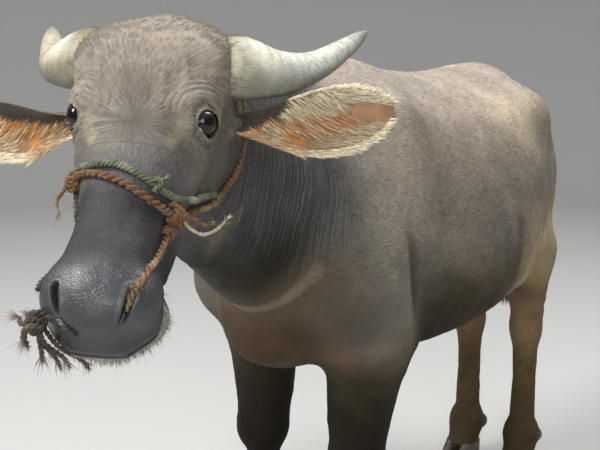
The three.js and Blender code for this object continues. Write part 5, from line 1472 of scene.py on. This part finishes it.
class Rope:
    """Strands twisted together along paths, with stray fibres, gathered into one piece"""

    def __init__(self, colours, seed):
        self.places, self.faces, self.tints, self.combs, self.first = [], [], [], [], 0
        self.colours, self.pick = np.array([rgb(c) for c in colours]), np.random.default_rng(seed)
        self.fibres = Tufts(3)
        self.seed = seed

    def strand(self, path, radius, seed, thin_ends=(0, 0), sides=9):
        sideways, upwards, _ = frames(path)
        run = np.r_[0, np.cumsum(np.linalg.norm(np.diff(path, axis=0), axis=1))]
        thin = np.ones(len(path))
        for from_end, fade in ((run, thin_ends[0]), (run[-1] - run, thin_ends[1])):
            if fade:
                thin *= np.clip(from_end / fade, 0.12, 1) ** 0.7
        a = np.linspace(0, 2 * math.pi, sides, endpoint=False)
        wide = (radius * thin)[:, None] * (1 + 0.06 * np.sin(run[:, None] * 1.9 + a + seed))
        beside = (wide * np.cos(a))[..., None] * sideways[:, None]
        above = (wide * np.sin(a))[..., None] * upwards[:, None]
        flat = (path[:, None] + beside + above).reshape(-1, 3)
        clean, grimy, worn = self.colours
        tone = clean + (grimy - clean) * smooth(-0.5, 0.6, grain(flat, 12, self.seed))[:, None]
        tone = tone + (worn - tone) * (smooth(0.25, 0.6, grain(flat, 24, self.seed + 1)) * 0.75)[:, None]
        self.places.append(flat)
        self.faces += tube_faces(len(path), sides, self.first)
        self.first += len(flat)
        self.tints.append(tone * (0.9 + 0.2 * self.pick.random()))
        about = np.tile(a * radius * 1.2, len(path))
        self.combs.append(np.stack([about, np.repeat(run * 0.25, sides), np.full(len(flat), seed * 9.0)], 1))

    def lay(self, path, radius, strands=2, pitch=20, thin_ends=(0, 0), fuzz=0.35):
        """One rope along a path"""
        path = spaced(path, 1.8)
        sideways, upwards, ahead = frames(path)
        run = np.r_[0, np.cumsum(np.linalg.norm(np.diff(path, axis=0), axis=1))]
        offset = radius * (0.5 if strands == 2 else 0.54)
        each = radius * (0.56 if strands == 2 else 0.47)
        phase = run * 2 * math.pi / pitch + 0.5 * np.sin(run / 37)
        for k in range(strands):
            a = phase + 2 * math.pi * k / strands
            twisted = path + offset * (np.cos(a)[:, None] * sideways + np.sin(a)[:, None] * upwards)
            self.strand(twisted, each, self.pick.random() * 6 + k, thin_ends)
        count = int(run[-1] * fuzz)
        if count:
            at = self.pick.integers(0, len(path), count)
            turn = 2 * math.pi * self.pick.random(count)
            out = np.cos(turn)[:, None] * sideways[at] + np.sin(turn)[:, None] * upwards[at]
            colour = self.colours[2] * (0.7 + 0.5 * self.pick.random(count))[:, None]
            root = path[at] + out * radius * 0.85
            way = ahead[at] * self.pick.choice([-1, 1], count)[:, None] + out * 0.5
            long = 4 + 6 * self.pick.random(count)
            bend = out * 0.1 + 0.3 * (self.pick.random((count, 3)) - 0.5)
            self.fibres.add(root, way, out, long, 0.5, bend, colour, colour, self.pick.random((count, 2)))

    def fray(self, place, way, count, size, spread=0.8):
        """Loose fibres from a rope's end"""
        way = unit(way)
        colour = self.colours[2] * (0.6 + 0.6 * self.pick.random(count))[:, None]
        root = np.tile(place, (count, 1)) + 2.0 * (self.pick.random((count, 3)) - 0.5)
        loose_way = way + spread * (self.pick.random((count, 3)) - 0.5)
        normals = np.tile(np.cross(way, [0.3, 0.5, 0.8]), (count, 1))
        long = size * (0.5 + 0.8 * self.pick.random(count))
        bend = 0.5 * (self.pick.random((count, 3)) - 0.5) + np.array([0, 0, -0.15])
        self.fibres.add(root, loose_way, normals, long, 0.8, bend, colour, colour * 1.1, self.pick.random((count, 2)))

    def make(self, name, material, slot, nodes):
        places, tints = np.concatenate(self.places), np.concatenate(self.tints)
        combs = {"Comb": ("FLOAT_VECTOR", np.concatenate(self.combs))}
        piece(name, places, self.faces, material, slot, nodes, tints, None, combs)
        if self.fibres.parts:
            self.fibres.make(f"{name}.fibres", COAT, slot)


n = Nodes("Rope", 0.85, Specular_IOR_Level=0.25)
yarn = n.noise(n.read("Comb", "Vector"), 1.6, 3.0)
dirt = n.noise(n.place(), 55.0, 4.0)
tone = n.times(n.varied(yarn, 0.62, 1.35), n.ramp(dirt, 0.32, 0.68, 0.72, 1.2))
ROPE = n.finish(n.tinted(tone), None, yarn, 0.0012)

# The headstall runs up the left cheek, round behind the horns and down the right cheek
crown = []
for turn in np.radians(np.linspace(-32, 212, 60)):
    start = on_head(15, 0, -160)
    way = along_head(-0.61 * math.sin(turn), math.cos(turn), 0.793 * math.sin(turn))
    hit = tree.ray_cast(Vector(start + way * 330), Vector(-way))[0]
    crown.append(np.array(hit) + way * 4.6)
CHEEK_LEFT = [[296, 64, -72], [244, 76, -121], [205, 82, -160], [165, 84, -198], [118, 98, -214]]
CHEEK_RIGHT = [[118, -100, -200], [165, -92, -168], [212, -84, -118], [250, -75, -70]]
headstall = np.concatenate([laid(CHEEK_LEFT, 5.2, -130), np.array(crown)[::4], laid(CHEEK_RIGHT, 5.2, -130)])
for _ in range(4):
    headstall[1:-1] = headstall[1:-1] * 0.5 + (headstall[:-2] + headstall[2:]) * 0.25
brown = Rope(("7a593c", "84694c", "a59474"), 5)
brown.lay(headstall, 4.9)
brown.make("Rope.headstall", ROPE, "rope_brown", ["halter_cheek_left", "halter_crown", "halter_cheek_right"])

# The noseband crosses the bridge from knot to knot
NOSEBAND = [
    [256, -70, -52],
    [272, -48, -28],
    [281, -28, -14],
    [289, -8, -9],
    [297, 12, -10],
    [307, 33, -17],
    [309, 52, -38],
    [300, 61, -58],
]
brown = Rope(("7b5c40", "735238", "a49678"), 6)
brown.lay(laid(NOSEBAND, 5.0), 4.9)
brown.make("Rope.noseband", ROPE, "rope_brown", ["halter_noseband"])

# The green band crosses above it and goes up the left cheek, with a small knot on the bridge
GREEN_BAND = [
    [252, -64, -46],
    [267, -36, -15],
    [269, -6, -9],
    [280, 24, -13],
    [288, 48, -32],
    [274, 68, -62],
    [242, 80, -100],
    [206, 86, -138],
]
green = Rope(("5e6454", "72765f", "93957f"), 7)
green_path = laid(GREEN_BAND, 5.0)
green.lay(green_path, 4.9, 3, 17)
at_knot = int(len(green_path) * 0.46)
middle = green_path[at_knot]
out = unit(middle - on_head(280, 20, -85))
ahead = unit(green_path[at_knot + 2] - green_path[at_knot - 2])
beside = np.cross(out, ahead)


def coil(centre, axis, first, second, first_radius, second_radius, turns, pitch, start=0.0):
    """Turns of rope round an axis, as wide as the two radii along the two ways across it"""
    a = np.linspace(0, turns * 2 * math.pi, int(turns * 14) + 2)
    along = np.outer((a / (2 * math.pi) - turns / 2) * pitch, axis)
    across = np.outer(first_radius * np.cos(a + start), first)
    return centre + along + across + np.outer(second_radius * np.sin(a + start), second)


green.lay(coil(middle + out * 1.5, ahead, out, beside, 6.5, 8.0, 1.6, 7.5), 3.2, 2, 13)
loose_end = middle + out * 8 + beside * 12 + ahead * 4
green.lay([middle + out * 5, middle + out * 10 + beside * 5, loose_end], 2.6, 2, 12, (0, 8))
green.fray(loose_end, beside + ahead * 0.4, 26, 9)
green.make("Rope.green", ROPE, "rope_green", ["halter_band_green"])

# A rope along the left of the nose, which ends in a small knot, and a thinner dark one along the right
NOSE_ROPE_LEFT = [[304, 62, -70], [337, 56, -62], [372, 56, -47], [412, 54, -26], [436, 47, -22], [452, 41, -24]]
brown = Rope(("7c593c", "80664a", "9c8a6c"), 8)
nose_path = laid(NOSE_ROPE_LEFT, 4.6)
nose_path[-3:] -= HEAD_AXES @ np.array([0.0, 0, 1]) * np.array([[0.5], [3], [6]])
brown.lay(nose_path, 4.4)
near_end = nose_path[-5]
out = unit(near_end - on_head(430, 0, -85))
ahead = unit(nose_path[-3] - nose_path[-8])
brown.lay(coil(near_end, ahead, out, np.cross(out, ahead), 6.0, 6.5, 1.8, 6.5), 3.1, 2, 12)
brown.fray(near_end + out * 4, out - ahead * 0.5, 22, 8)
brown.make("Rope.nose_left", ROPE, "rope_brown", ["halter_nose_rope_left"])

NOSE_ROPE_RIGHT = [[262, -74, -70], [300, -62, -74], [350, -58, -70], [400, -64, -58], [430, -60, -50]]
dark = Rope(("3f3831", "544b40", "6b6051"), 9)
dark.lay(laid(NOSE_ROPE_RIGHT, 3.2), 3.0, 2, 14)
dark.make("Rope.nose_right", ROPE, "rope_dark", ["halter_nose_rope_right"])

# Knots: wraps of the same brown rope that bind the bands where they meet at each side of the nose. Their loose ends
# hang frayed. The left knot has a smaller one below it.
knot = Rope(("856344", "7a583c", "b3a17c"), 10)
centre = seat(299, 63, -62, 4.5)
out = unit(centre - on_head(299, 0, -85))
ahead = unit(seat(309, 48, -34, 4.5) - seat(289, 70, -88, 4.5))
beside = np.cross(out, ahead)
knot.lay(coil(centre + out * 1.5, ahead, out, beside, 8.5, 11.5, 3.2, 8.2, 0.6), 4.1, 2, 15)
knot.lay(coil(centre + ahead * -9 - out * 0.5, beside, out, ahead, 8.5, 8.0, 1.4, 7, 2.0), 4.1, 2, 15)
short_end = [centre + out * 6, on_head(284, 84, -92), on_head(276, 92, -116), on_head(262, 97, -128)]
knot.lay(np.array(short_end), 2.6, 2, 14, (0, 22))
knot.fray(short_end[-1], short_end[-1] - short_end[-2], 20, 10, 0.7)
long_end = [centre + out * 5, on_head(308, 84, -80), on_head(310, 98, -86)]
long_end += [on_head(300, 114, -88), on_head(284, 126, -84)]
lower = seat(325, 57, -64, 4.6)
out = unit(lower - on_head(325, 0, -85))
ahead = unit(seat(337, 56, -62, 4.6) - seat(313, 60, -67, 4.6))
knot.lay(coil(lower, ahead, out, np.cross(out, ahead), 6.8, 7.6, 1.9, 7.0), 3.4, 2, 13)
knot.make("Knot.left", ROPE, "rope_brown", ["halter_knot_left"])
loose = Rope(("b3a487", "c4b799", "d8cdb4"), 11)
loose.lay(np.array(long_end), 2.2, 2, 14, (0, 22))
loose.fray(long_end[-1], long_end[-1] - long_end[-2], 14, 8, 0.6)
loose.make("Knot.left_end", ROPE, "rope_brown", ["halter_knot_left"])

knot = Rope(("805f42", "74563c", "ab997a"), 12)
centre = seat(256, -73, -62, 4.5)
out = unit(centre - on_head(256, 0, -85))
ahead = unit(seat(266, -58, -38, 4.5) - seat(244, -78, -84, 4.5))
beside = np.cross(out, ahead)
knot.lay(coil(centre + out * 1.0, ahead, out, beside, 8.0, 10.0, 2.6, 8.0), 4.0, 2, 15)
knot.lay(coil(centre + ahead * 6, beside, out, ahead, 8.0, 8.0, 1.3, 7, 1.0), 3.8, 2, 15)
short_end = [centre + out * 6, on_head(276, -86, -60), on_head(292, -88, -56), on_head(304, -84, -60)]
knot.lay(np.array(short_end), 2.8, 2, 14, (0, 16))
knot.fray(short_end[-1], short_end[-1] - short_end[-2], 26, 12, 0.9)
knot.make("Knot.right", ROPE, "rope_brown", ["halter_knot_right"])

# Tangle: a stopper knot of worn dark rope at the right nostril, where the nose rope comes out. Its many ends stick out
# and hang frayed.
tangle = Rope(("4b443e", "5d554d", "857b6f"), 14)
centre = seat(458, -40, -66, 8)
out = along_head(0.35, -0.75, 0.35)
ahead = along_head(1, 0.1, -0.1)
beside = np.cross(out, ahead)
pick = np.random.default_rng(141)
tangle.lay(coil(centre + out * 4, ahead, out, beside, 10, 11, 2.4, 8.0), 4.0, 2, 14)
tangle.lay(coil(centre + out * 6, beside, out, ahead, 9, 11, 1.8, 8.0, 1.3), 3.8, 2, 14)
TANGLE_ENDS = [
    (462, -88, -52),
    (484, -78, -62),
    (494, -36, -84),
    (486, -52, -104),
    (470, -66, -112),
    (448, -86, -70),
    (492, -62, -82),
    (484, -22, -108),
    (478, -84, -84),
]
for tangle_end in TANGLE_ENDS:
    tip = on_head(*tangle_end)
    bow = centre * 0.45 + tip * 0.55 + out * (5 + 4 * pick.random()) + 8 * (pick.random(3) - 0.5)
    hanging = [centre, bow, tip, tip + 0.35 * (tip - bow) + np.array([0, 0, -7.0])]
    tangle.lay(np.array(hanging), 2.5 + 1.0 * pick.random(), 2, 13, (0, 20), 0.6)
    tangle.fray(tip, tip - centre, 26, 17, 0.9)
across_lip = [centre, on_head(462, -44, -44), on_head(474, -30, -48), on_head(478, -18, -58)]
tangle.lay(np.array(across_lip), 3.0, 2, 13, (0, 4))
tangle.fray(centre + out * 8, out, 60, 15, 1.6)
tangle.make("Knot.nostril", ROPE, "rope_dark", ["halter_knot_nostril"])


# Light and floor: a wide pale bowl whose rim curves up far from the animal. A soft key lamp stands at its right
# front, a weaker one at its left front and one above, and a pale sky fills the shadows.
stage_mesh = bpy.data.meshes.new("Floor")
rings = [(r, 0) for r in (1, 2, 4, 6)]
rings += [(6 + 3 * math.sin(a), 3 - 3 * math.cos(a)) for a in np.linspace(0.1, math.pi / 2, 14)]
rings.append((9, 6))
bm = bmesh.new()
turns = 96
circle = [(math.cos(2 * math.pi * k / turns), math.sin(2 * math.pi * k / turns)) for k in range(turns)]
levels = [[bm.verts.new((r * x, r * y, z)) for x, y in circle] for r, z in rings]
hub = bm.verts.new((0, 0, 0))
for k in range(turns):
    bm.faces.new((hub, levels[0][k], levels[0][(k + 1) % turns]))
    for low, high in zip(levels, levels[1:]):
        bm.faces.new((low[k], high[k], high[(k + 1) % turns], low[(k + 1) % turns]))
bm.to_mesh(stage_mesh)
bm.free()
stage_mesh.polygons.foreach_set("use_smooth", np.ones(len(stage_mesh.polygons), bool))
floor = bpy.data.objects.new("Floor", stage_mesh)
bpy.context.scene.collection.objects.link(floor)
paint = bpy.data.materials.new("Floor")
paint.use_nodes = True
surface = paint.node_tree.nodes["Principled BSDF"].inputs
surface["Base Color"].default_value = (0.5, 0.495, 0.48, 1)
surface["Roughness"].default_value = 0.9
stage_mesh.materials.append(paint)


def lamp(name, place, target, size, power, colour=(1, 1, 1)):
    data = bpy.data.lights.new(name, "AREA")
    data.shape = "DISK"
    data.size, data.energy, data.color = size, power, colour
    light = bpy.data.objects.new(name, data)
    light.location = place
    light.rotation_euler = (Vector(target) - Vector(place)).to_track_quat("-Z", "Y").to_euler()
    bpy.context.scene.collection.objects.link(light)


lamp("Key", (-1.5, -3.5, 4.6), (0.1, -0.5, 0.9), 2.2, 290)
lamp("Fill", (2.8, -3.6, 2.2), (0.2, -0.6, 1.0), 2.6, 105)
lamp("Top", (0.3, 1.6, 4.8), (0, 0.1, 0.9), 2.4, 175)
sky = bpy.data.worlds.new("World")
sky.use_nodes = True
background = sky.node_tree.nodes["Background"].inputs
background["Color"].default_value = (0.86, 0.89, 0.93, 1)
background["Strength"].default_value = 0.38
bpy.context.scene.world = sky

bpy.context.view_layer.update()
